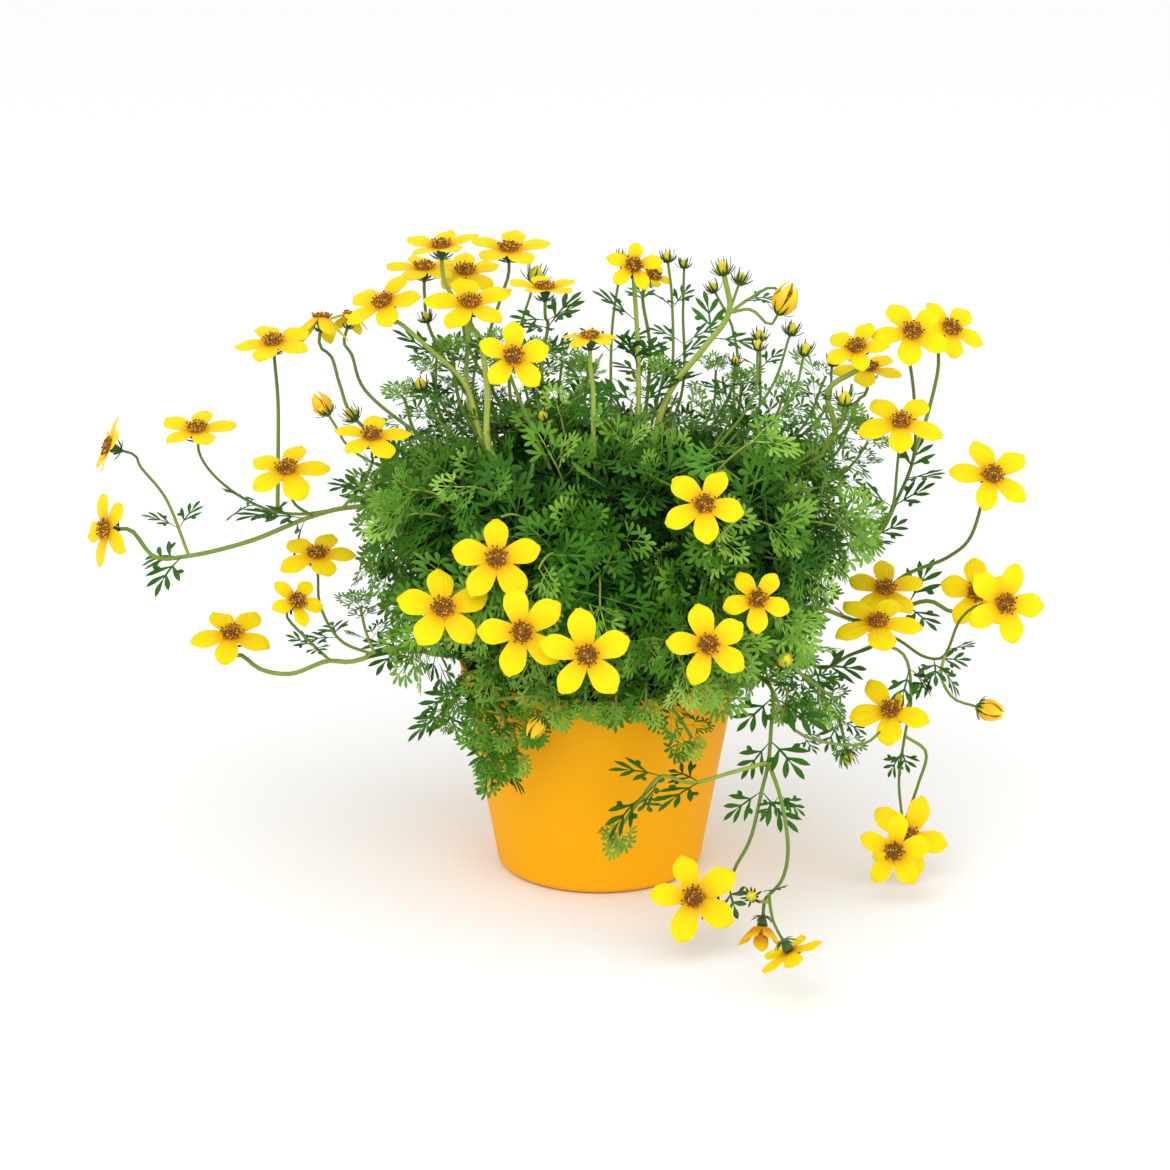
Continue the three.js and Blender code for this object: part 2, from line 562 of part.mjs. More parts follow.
function tube(points, radius, sides = 3) {
  const curve = new THREE.CatmullRomCurve3(points, false, 'centripetal');
  const section = new THREE.Shape();
  for (let i = 0; i < sides; i += 1) {
    const angle = (i / sides) * 2 * Math.PI;
    const corner = [radius * Math.cos(angle), radius * Math.sin(angle)];
    if (i === 0) section.moveTo(...corner);
    else section.lineTo(...corner);
  }
  section.closePath();
  const steps = Math.max(2, Math.round(curve.getLength() / STEM.step));
  const geometry = new THREE.ExtrudeGeometry(section, {
    steps, bevelEnabled: false, extrudePath: curve,
  });
  return { curve, steps, line: curve.getSpacedPoints(steps), solid: solidOf(geometry) };
}

// The green cup behind a bloom, as wide as its spread bracts.
function calyxSolid(number) {
  const { across = BLOOM.across, lift } = BLOOMS[number];
  const { length, sides, spread, shut } = CALYX;
  const droops = lift < -20;
  const gap = CALYX.gap + (droops ? 0.4 : 0);
  const reach = (droops ? shut : spread) * Math.sqrt(across / BLOOM.across);
  const cup = turned([[0, -length], [reach, -gap - 1.1], [0, -gap]], sides);
  return solidOf(cup).transform(bloomFrame(number).matrix.elements);
}

// A bud on the end of a stem: a slim pointed egg.
function budSolid(end, direction, length) {
  const radius = length * (length > 9 ? 0.3 : 0.38);
  const egg = turned([
    [0, -1], [radius, length * 0.35], [radius * 0.72, length * 0.78], [0, length],
  ], 5);
  const side = Math.abs(direction.z) > 0.9 ? new THREE.Vector3(1, 0, 0) : new THREE.Vector3(0, 0, 1);
  const matrix = frameAt(end, side.cross(direction), direction);
  return solidOf(egg).transform(matrix.elements);
}

// Half of a cut leaf's outline as shares of its length: from a narrow place at the rib,
// it runs out to the tip of the side leaflet and back to where the last leaflet starts.
const CUT = { near: 0.36, tip: [0.80, 0.36], last: 0.58 };

// The blade from a share of its length onwards, arched along and raised at the sides.
function bladeSolid(length, matrix, start) {
  const rib = Math.max(0.6, length * 0.035);
  const half = [
    [start, start > 0 ? rib : LEAF.rootHalf],
    [CUT.near, rib],
    [CUT.tip[0], CUT.tip[1] * length],
    [CUT.last, rib * 1.2],
  ];
  const right = half.map(([along, out]) => new THREE.Vector2(along * length, -out));
  const left = half.map(([along, out]) => new THREE.Vector2(along * length, out)).reverse();
  const shape = new THREE.Shape([...right, new THREE.Vector2(length, 0), ...left]);
  const blade = new THREE.ExtrudeGeometry(shape, { depth: LEAF.thickness, bevelEnabled: false });
  reshape(blade, (point) => {
    const along = point.x / length;
    point.z += length * (0.06 * Math.abs(point.y / length) - LEAF.droop * along * along);
  });
  return solidOf(blade).transform(matrix.elements);
}

// A leaf as a whole, and without its root as what has to stay clear of the rest.
function leafSolids(length, matrix) {
  return {
    whole: bladeSolid(length, matrix, 0),
    free: bladeSolid(length, matrix, LEAF.rootShare),
  };
}

// The solids already placed, so that a new leaf stays clear of them.
const placed = [];

function place(solid) {
  placed.push({ solid, box: solid.boundingBox() });
}

function isClear(solid, ignored) {
  const box = solid.boundingBox();
  const margin = LEAF.clearance;
  return placed.every((other) => {
    if (other.solid === ignored) return true;
    const apart = [0, 1, 2].some((axis) => box.min[axis] - margin > other.box.max[axis]
      || box.max[axis] + margin < other.box.min[axis]);
    return apart || solid.minGap(other.solid, margin * 2) >= margin;
  });
}

// A leaf that leaves a stem at a point, out to one side and a little forwards.
function stemLeaf(point, along, spin, length, spread) {
  const side = new THREE.Vector3(0, 0, 1).cross(along);
  if (side.length() < 0.2) side.set(1, 0, 0);
  side.normalize().applyAxisAngle(along, spin);
  const forward = side.multiplyScalar(Math.sin(spread)).addScaledVector(along, Math.cos(spread));
  const up = new THREE.Vector3(0, -0.35, 1).addScaledVector(along, 0.3);
  const matrix = frameAt(point.clone().addScaledVector(forward, 0.1), forward, up);
  matrix.multiply(new THREE.Matrix4().makeTranslation(0, 0, -LEAF.thickness / 2));
  return leafSolids(length, matrix);
}

function stemPoints(stem) {
  const points = [];
  if (stem.root) {
    const [x, y] = stem.root;
    points.push(new THREE.Vector3(x, y, SOIL.top - SOIL.holeDepth));
    points.push(new THREE.Vector3(x, y, SOIL.top + 7));
  }
  if (stem.from) {
    const middle = new THREE.Vector3(...CORE.centre);
    points.push(new THREE.Vector3(...stem.from).lerp(middle, CORE.stalkDepth));
  }
  (stem.inside ?? []).forEach((point) => points.push(new THREE.Vector3(...point)));
  (stem.path ?? []).forEach((point) => points.push(seen(point)));
  if (stem.bloom) {
    const { centre, normal } = bloomFrame(stem.bloom);
    points.push(centre.clone().addScaledVector(normal, -CALYX.length * 1.9));
    points.push(centre.clone().addScaledVector(normal, -CALYX.length * 0.55));
  }
  return points;
}

// The point nearest to a place on the centre lines of the stems so far.
function onStems(place, lines) {
  const piece = new THREE.Line3();
  const nearest = new THREE.Vector3();
  let best = null;
  lines.forEach((line) => {
    for (let i = 1; i < line.length; i += 1) {
      piece.set(line[i - 1], line[i]).closestPointToPoint(place, true, nearest);
      if (!best || nearest.distanceTo(place) < best.distanceTo(place)) best = nearest.clone();
    }
  });
  return best;
}

// A stem with its calyx or bud, and the leaves along it as separate solids.
function growStem(stem, item, lines) {
  const radius = stem.thickness ?? STEM.stalk;
  const points = stemPoints(stem);
  if (!stem.root && !stem.from) points[0] = onStems(points[0], lines);
  const { curve, steps, line, solid } = tube(points, radius, radius > STEM.shoot ? 4 : 3);
  lines.push(line);
  const parts = [solid];
  const end = points.at(-1);
  const ahead = curve.getTangent(1);
  if (stem.bloom) parts.push(calyxSolid(stem.bloom));
  if (stem.bud) parts.push(budSolid(end, ahead, stem.bud));
  const leaves = [];
  (stem.pairs ?? []).forEach((share, pair) => {
    const step = Math.min(steps - 1, Math.max(1, Math.round(share * steps)));
    const point = line[step];
    const along = curve.getTangentAt(step / steps);
    [0, 1].forEach((half) => {
      const draws = item * 40 + pair * 4 + half;
      const spin = half * Math.PI + (pair % 2) * 0.9 + (draw(draws, 4) - 0.5) * 0.8;
      const length = stem.leaf * (0.88 + 0.3 * draw(draws, 5));
      leaves.push(stemLeaf(point, along, spin, length, 0.95));
    });
  });
  if (stem.tuft) {
    [0, 1].forEach((turn) => {
      const base = end.clone().addScaledVector(ahead, -1.5);
      leaves.push(stemLeaf(base, ahead, turn * Math.PI + draw(item, 6), stem.tuft, 0.5));
    });
  }
  return { wood: joined(parts), leaves };
}

// The stems of one node, then every leaf of theirs that stays clear of the rest.
function growNode(stems, seed) {
  const lines = [];
  const grown = stems.map((stem, i) => growStem(stem, seed * 50 + i, lines));
  const wood = joined(grown.map(({ wood: part }) => part));
  return { wood, leaves: grown.flatMap(({ leaves }) => leaves) };
}

// The foliage dome.

function coreSolid() {
  const [rx, ry, rz] = CORE.reach;
  const rock = new THREE.IcosahedronGeometry(1, 2);
  reshape(rock, (point) => {
    const wave = Math.sin(point.x * 61 + 1) + Math.sin(point.y * 67 + 2) + Math.sin(point.z * 71);
    point.multiplyScalar(1 + CORE.roughness * wave / 2);
    point.set(point.x * rx, point.y * ry, point.z * rz - point.x * rx * CORE.slope);
    point.add(new THREE.Vector3(...CORE.centre));
  });
  return solidOf(rock);
}

// places: how many places for leaves are tried. lowest: the last place below the core's
// middle. low, lean: how far the lowest leaves start down and lean down. spacing: the
// least distance between leaves' middles.
const DOME = { places: 1600, step: 0.414214, lowest: -0.7, low: 32, lean: 0.7, leaf: 64, spacing: 18.5 };

// Every other leaf stands out of the core, and the others spread aside. base: how far out
// a leaf starts. wander: how far it turns aside. rise: how far its face turns outwards.
// least: its least length as a share of the dome's leaf.
const STANDING = { base: 0.6, wander: 1.15, rise: 0.35, least: 0.85 };
const SPREAD = { base: 0.64, wander: 2.4, rise: 1.2, least: 0.55 };

// Leaves stand out of the core all over: upright on top, level at the sides, and
// leaning out over the rim below. Two unlike steps spread them round and up.
function domeLeaf(index) {
  const height = 1 - ((index * DOME.step) % 1) * (1 - DOME.lowest);
  const above = Math.max(0, height);
  const below = Math.min(0, height);
  const ring = Math.sqrt(1 - above * above);
  const angle = index * Math.PI * (3 - Math.sqrt(5));
  const unit = new THREE.Vector3(ring * Math.cos(angle), ring * Math.sin(angle), above);
  const [rx, ry, rz] = CORE.reach;
  const habit = index % 2 ? STANDING : SPREAD;
  const outward = new THREE.Vector3(unit.x / rx, unit.y / ry, unit.z / rz).normalize();
  outward.z += below * DOME.lean;
  const base = new THREE.Vector3(unit.x * rx, unit.y * ry, unit.z * rz)
    .multiplyScalar(habit.base)
    .add(new THREE.Vector3(...CORE.centre));
  base.z += below * DOME.low - unit.x * rx * habit.base * CORE.slope;
  const wander = new THREE.Vector3(
    draw(index, 7) - 0.5, draw(index, 8) - 0.5, draw(index, 9) * 0.7 - (below < 0 ? 0.35 : 0),
  );
  wander.addScaledVector(outward, -Math.min(0, wander.dot(outward)));
  const forward = outward.clone().addScaledVector(wander, habit.wander).normalize();
  const up = new THREE.Vector3(0, 0, 1).applyAxisAngle(forward, (draw(index, 10) - 0.5) * 1.9);
  const length = DOME.leaf * (habit.least + 0.3 * draw(index, 11) + 0.12 * above);
  const matrix = frameAt(base, forward, up.addScaledVector(outward, habit.rise));
  const whole = bladeSolid(length, matrix, 0);
  const middle = base.clone().addScaledVector(forward, length / 2);
  return { whole, free: whole, middle };
}

// The whole plant.

const COLOURS = { pot: 0xf5ad00, soil: 0x3a2a1c, bloom: 0xfcd806, leaf: 0x40671f };

const plant = new THREE.Group();
const blooms = Object.keys(BLOOMS).map(Number);
const bloomSolids = blooms.map((number) => bloomSolid(number));
bloomSolids.forEach(place);

const rooted = Object.values(SHOOTS).map(([first]) => ({
  x: first.root[0], y: first.root[1], radius: first.thickness,
}));
TRUNKS.forEach(([x, y]) => rooted.push({ x, y, radius: STEM.thick }));
const pot = potSolid();
const soil = soilSolid(rooted);
place(pot);
place(soil);

const trunks = TRUNKS.map(([x, y]) => tube([
  new THREE.Vector3(x, y, SOIL.top - SOIL.holeDepth),
  new THREE.Vector3(x, y, SOIL.top + 3),
  new THREE.Vector3(x * 1.2, y * 1.2, CORE.centre[2] - 15),
], STEM.thick, 4).solid);

const shootNames = Object.keys(SHOOTS);
const shoots = shootNames.map((name, i) => growNode(SHOOTS[name], i + 1));
const stalks = growNode(STALKS, 20);
shoots.forEach(({ wood }) => place(wood));
place(stalks.wood);

// Adds each leaf that is clear of everything but its own stems, and whose middle is
// far enough from the middles of the leaves before it.
function addLeaves(wood, leaves, spacing = 0) {
  const kept = [];
  leaves.forEach((leaf) => {
    const apart = !spacing || kept.every(({ middle }) => middle.distanceTo(leaf.middle) > spacing);
    if (apart && isClear(leaf.free, wood)) {
      kept.push(leaf);
      place(leaf.free);
    }
  });
  return kept.map(({ whole }) => whole);
}

const shootBodies = shoots.map(({ wood, leaves }) => joined([wood, ...addLeaves(wood, leaves)]));
const stalkLeaves = addLeaves(stalks.wood, stalks.leaves);
const core = coreSolid();
const places = Array.from({ length: DOME.places }, (_, i) => domeLeaf(i + 1))
  .filter(({ whole }) => whole.minGap(core, 1) === 0);
const domeLeaves = addLeaves(null, places, DOME.spacing);
const bush = joined([core, ...trunks, stalks.wood, ...stalkLeaves, ...domeLeaves]);

plant.add(meshOf('pot', pot, COLOURS.pot, 0.35));
plant.add(meshOf('soil', soil, COLOURS.soil, 0.95));
plant.add(meshOf('bush', bush, COLOURS.leaf, 0.6));
shootNames.forEach((name, i) => plant.add(meshOf(name, shootBodies[i], COLOURS.leaf, 0.6)));
blooms.forEach((number, i) => {
  const name = `bloom_${String(number).padStart(2, '0')}`;
  plant.add(meshOf(name, bloomSolids[i], COLOURS.bloom, 0.5));
});

export default plant;
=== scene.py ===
"""A potted bidens, dressed around its solids: pot, compost, leafy stems and yellow blooms.

Lengths are in millimetres until a mesh is made, and Blender's own units are metres.
Places on the plant are read from the photo's square frame, 1170 units wide, with a depth
behind the pot's middle, by the same view and the same formulas as the solids.
"""
import logging
import math
from dataclasses import dataclass, field
from enum import Enum

import bpy
import numpy as np
from mathutils import Matrix


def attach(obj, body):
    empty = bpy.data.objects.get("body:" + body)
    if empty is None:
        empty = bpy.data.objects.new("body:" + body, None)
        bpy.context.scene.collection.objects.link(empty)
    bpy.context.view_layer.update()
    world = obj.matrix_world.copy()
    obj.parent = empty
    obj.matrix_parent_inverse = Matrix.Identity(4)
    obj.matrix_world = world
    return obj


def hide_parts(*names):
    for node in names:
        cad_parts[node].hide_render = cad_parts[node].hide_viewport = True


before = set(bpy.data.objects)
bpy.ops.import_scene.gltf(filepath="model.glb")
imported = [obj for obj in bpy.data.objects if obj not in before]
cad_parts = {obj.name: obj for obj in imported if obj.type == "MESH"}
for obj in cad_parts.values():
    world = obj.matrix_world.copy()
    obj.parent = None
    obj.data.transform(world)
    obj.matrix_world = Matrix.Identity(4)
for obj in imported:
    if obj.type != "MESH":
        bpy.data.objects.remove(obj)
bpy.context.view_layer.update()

log = logging.getLogger("bidens")

MM = 0.001
ROOT = "root"
UP = np.array([0.0, 0.0, 1.0])

Triple = tuple[float, float, float]
Pair = tuple[float, float]


# Small vector helpers.


def unit(vectors: np.ndarray) -> np.ndarray:
    """Vectors brought to length one along the last axis."""
    return vectors / np.maximum(np.linalg.norm(vectors, axis=-1, keepdims=True), 1e-12)


def draw(item: float | np.ndarray, use: int) -> float | np.ndarray:
    """A repeatable draw from 0 to 1 for an item and a use: the fraction of a large sine."""
    value = np.sin(item * 127.1 + use * 311.7) * 43758.5453
    return value - np.floor(value)


def around(angle: np.ndarray) -> np.ndarray:
    """Level directions at angles round the upright axis: (cos a, sin a, 0)."""
    return np.stack([np.cos(angle), np.sin(angle), 0 * angle], axis=-1)


def leaning(
    along: np.ndarray, side: np.ndarray, spin: float | np.ndarray, spread: float | np.ndarray,
) -> np.ndarray:
    """Directions that lean away from stems.

    A direction out is side cos spin + (along x side) sin spin, and the direction that
    leans is out sin spread + along cos spread.

    Args:
        along: the stems' directions, shape (..., 3).
        side: directions square to them, shape (..., 3).
        spin: angles round the stems.
        spread: angles away from the stems.

    Returns:
        Directions of shape (..., 3).
    """
    out = side * np.cos(spin) + np.cross(along, side) * np.sin(spin)
    return out * np.sin(spread) + along * np.cos(spread)


def frames_at(forward: np.ndarray, up: np.ndarray) -> np.ndarray:
    """Right-handed frames with x forwards and z nearly up.

    y is up x forward, and z is x x y.

    Args:
        forward: directions, shape (..., 3).
        up: directions that the upper side faces, shape (..., 3).

    Returns:
        Matrices of shape (..., 3, 3) whose columns are x, y and z.
    """
    x = unit(forward)
    y = unit(np.cross(up, x))
    z = np.cross(x, y)
    return np.stack([x, y, z], axis=-1)


def placed(local: np.ndarray, frames: np.ndarray, origins: np.ndarray) -> np.ndarray:
    """Local points turned by frames and moved to origins: origin + frame @ point.

    Args:
        local: points, shape (..., points, 3).
        frames: matrices, shape (..., 3, 3).
        origins: places, shape (..., 3).

    Returns:
        Points of shape (..., points, 3).
    """
    return local @ np.swapaxes(frames, -1, -2) + origins[..., None, :]


@dataclass(frozen=True)
class View:
    """The photo's camera: it stands in front of the pot and looks down by tilt.

    A place seen at (across, down) lies on the line with the direction
    (a, cos tilt + b sin tilt, -sin tilt + b cos tilt), where
    a = (across - middle) / focal and b = (middle - down) / focal.
    """

    middle: float = 585.0
    focal: float = 4117.0
    distance: float = 1800.0
    side: float = -6.7
    aim_height: float = 133.9
    tilt: float = math.radians(17.81)
    frame_width: float = 1170.0

    @property
    def eye(self) -> np.ndarray:
        """The camera's place."""
        height = self.aim_height + self.distance * math.tan(self.tilt)
        return np.array([self.side, -self.distance, height])

    def lines(self, across: np.ndarray, down: np.ndarray) -> np.ndarray:
        """Directions from the eye to places in the frame.

        Args:
            across: places across the frame, in its units.
            down: places down the frame.

        Returns:
            Directions of shape (..., 3), not of length one.
        """
        a = (np.asarray(across, float) - self.middle) / self.focal
        b = (self.middle - np.asarray(down, float)) / self.focal
        cos, sin = math.cos(self.tilt), math.sin(self.tilt)
        return np.stack([a, cos + b * sin, -sin + b * cos], axis=-1)

    def seen(self, places: np.ndarray) -> np.ndarray:
        """Points seen at places of the frame that lie at given depths.

        Args:
            places: (across, down, depth) for each point, shape (..., 3).

        Returns:
            Points of shape (..., 3).
        """
        places = np.asarray(places, float)
        lines = self.lines(places[..., 0], places[..., 1])
        reach = (places[..., 2] + self.distance) / lines[..., 1]
        return self.eye + lines * reach[..., None]

    def seen_on_plane(self, place: Pair, centre: np.ndarray, normal: np.ndarray) -> np.ndarray:
        """The point seen at a place on the plane through a centre.

        Args:
            place: (across, down) in the frame.
            centre: a point on the plane.
            normal: the plane's normal.

        Returns:
            The point, shape (3,).
        """
        line = self.lines(place[0], place[1])
        reach = normal @ (centre - self.eye) / (normal @ line)
        return self.eye + line * reach


VIEW = View()


# Where everything grows, as seen in the photo.


@dataclass(frozen=True)
class BloomPlace:
    """Where a bloom sits.

    at is the disc's centre in the view, turn and rise say where the bloom faces, tip is a
    petal's tip in the view, and lift is how far the petals rise from flat, in degrees.
    folded is the number of a petal that is still small and folded up, if there is one,
    and tint is how much deeper the yellow is.
    """

    at: Triple
    turn: float
    rise: float
    tip: Pair
    across: float = 38.0
    lift: float = 0.0
    folded: int | None = None
    tint: float = 0.0

    @property
    def centre(self) -> np.ndarray:
        """The middle of the bloom's face."""
        return VIEW.seen(self.at)

    @property
    def normal(self) -> np.ndarray:
        """Where the bloom faces: turned from the viewer to the right, and raised from level.

        Returns:
            (cos r sin t, -cos r cos t, sin r) for the turn t and the rise r.
        """
        t, r = math.radians(self.turn), math.radians(self.rise)
        return np.array([math.cos(r) * math.sin(t), -math.cos(r) * math.cos(t), math.sin(r)])

    @property
    def frame(self) -> np.ndarray:
        """The bloom's own frame, from its tip in the view.

        Returns:
            Columns: towards the first petal, across it, and where the bloom faces.
        """
        first = VIEW.seen_on_plane(self.tip, self.centre, self.normal) - self.centre
        aim = VIEW.seen((self.tip[0], self.tip[1], self.at[2])) - self.centre
        if first @ aim < 0:
            first = -first
        return frames_at(first, self.normal)


BLOOMS: dict[int, BloomPlace] = {
    1: BloomPlace((441, 247, 15), -20, 82, (405, 243), 36, 14),
    2: BloomPlace((509, 250, 35), 10, 80, (555, 247), 40, 8),
    3: BloomPlace((424, 269, 48), 0, 84, (390, 268), 36, 5),
    4: BloomPlace((465, 272, 66), 10, 72, (462, 252), 36, 5),
    5: BloomPlace((384, 303, 8), -40, 58, (355, 322), 38, 2),
    6: BloomPlace((470, 304, -12), 0, 68, (425, 300), 42, 3),
    7: BloomPlace((273, 343, 20), -10, 76, (236, 345), 38, 5),
    8: BloomPlace((321, 320, 60), 175, 66, (293, 322), 34, -42),
    9: BloomPlace((350, 318, 78), 160, 52, (352, 305), 22, -30),
    10: BloomPlace((545, 289, -4), 0, 88, (516, 288), 32, 14),
    11: BloomPlace((513, 357, -48), 15, 30, (512, 325), 34, 10),
    12: BloomPlace((590, 338, -32), 0, 86, (563, 336), 26, 4),
    13: BloomPlace((634, 266, 12), 0, 42, (638, 243), 26, 5),
    14: BloomPlace((653, 276, 40), 40, 55, (662, 266), 18, 20),
    15: BloomPlace((912, 333, 8), 5, 52, (892, 306), 38, 0),
    16: BloomPlace((950, 329, 44), 30, 48, (968, 306), 34, 3),
    17: BloomPlace((857, 348, 0), -20, 58, (830, 333), 31, 5),
    18: BloomPlace((868, 369, 34), 10, 80, (830, 371), 34, 6),
    19: BloomPlace((901, 423, -15), 0, 62, (860, 430), 40, 0),
    20: BloomPlace((992, 476, 0), 15, 50, (977, 443), 40, 3),
    21: BloomPlace((197, 430, 10), -10, 76, (164, 422), 36, 8),
    22: BloomPlace((110, 447, 26), -78, 22, (128, 430), 30, 10),
    23: BloomPlace((107, 529, -6), -55, 12, (100, 489), 36, 4),
    24: BloomPlace((287, 470, -18), -5, 65, (300, 443), 39, 0),
    25: BloomPlace((372, 437, -32), 5, 72, (377, 415), 37, 3),
    26: BloomPlace((317, 555, -20), 0, 72, (328, 537), 37, 3),
    27: BloomPlace((296, 602, -52), 35, 45, (282, 588), 27, 8),
    28: BloomPlace((232, 635, -26), 0, 68, (192, 641), 39, 2),
    29: BloomPlace((443, 609, -92), 5, 45, (440, 571), 43, 2),
    30: BloomPlace((497, 559, -86), 0, 38, (497, 518), 40, 0),
    31: BloomPlace((522, 632, -112), 0, 22, (510, 591), 41, 0),
    32: BloomPlace((587, 655, -124), 0, 22, (583, 614), 41, 0),
    33: BloomPlace((704, 505, -92), 0, 42, (722, 476), 37, 2),
    34: BloomPlace((757, 600, -88), 0, 40, (778, 571), 31, 6),
    35: BloomPlace((708, 645, -104), 5, 22, (698, 612), 37, 2),
    36: BloomPlace((886, 590, 12), 0, 64, (885, 562), 38, 3, tint=0.1),
    37: BloomPlace((877, 623, -32), 0, 68, (832, 635), 42, 0),
    38: BloomPlace((977, 593, 18), -5, 35, (975, 556), 36, 5),
    39: BloomPlace((1004, 603, -20), 20, 18, (1018, 560), 40, 3),
    40: BloomPlace((890, 711, -40), -5, 52, (868, 681), 38, 2, folded=4),
    41: BloomPlace((895, 851, -62), -10, 12, (862, 838), 34, 3),
    42: BloomPlace((908, 837, -30), 15, 24, (922, 803), 40, 2),
    43: BloomPlace((694, 898, -118), 0, 40, (681, 857), 42, 2),
    44: BloomPlace((762, 928, -147), -10, -52, (762, 950), 30, 55, tint=0.42),
    45: BloomPlace((789, 951, -174), 90, -62, (762, 970), 31, 12),
}


class Wood(Enum):
    """How thick a stem is: its radius in millimetres."""

    THIN = 0.8
    STALK = 1.0
    SHOOT = 1.3
    THICK = 1.7


@dataclass(frozen=True)
class Stem:
    """One stem.

    root is where it stands in the compost, start a point inside the bush, inside are
    points in millimetres, and path are points in the view. A stem without a root or a
    start leaves the nearest earlier stem. pairs are the places of its leaf pairs, from 0
    to 1, leaf is their length, tuft the length of the leaves at its tip, and bud the
    length of the bud there. fern spaces cut leaves all along it.
    """

    path: tuple[Triple, ...] = ()
    root: Pair | None = None
    start: Triple | None = None
    inside: tuple[Triple, ...] = ()
    wood: Wood = Wood.STALK
    bloom: int = 0
    bud: float = 0.0
    pairs: tuple[float, ...] = ()
    leaf: float = 0.0
    tuft: float = 0.0
    fern: float = 0.0


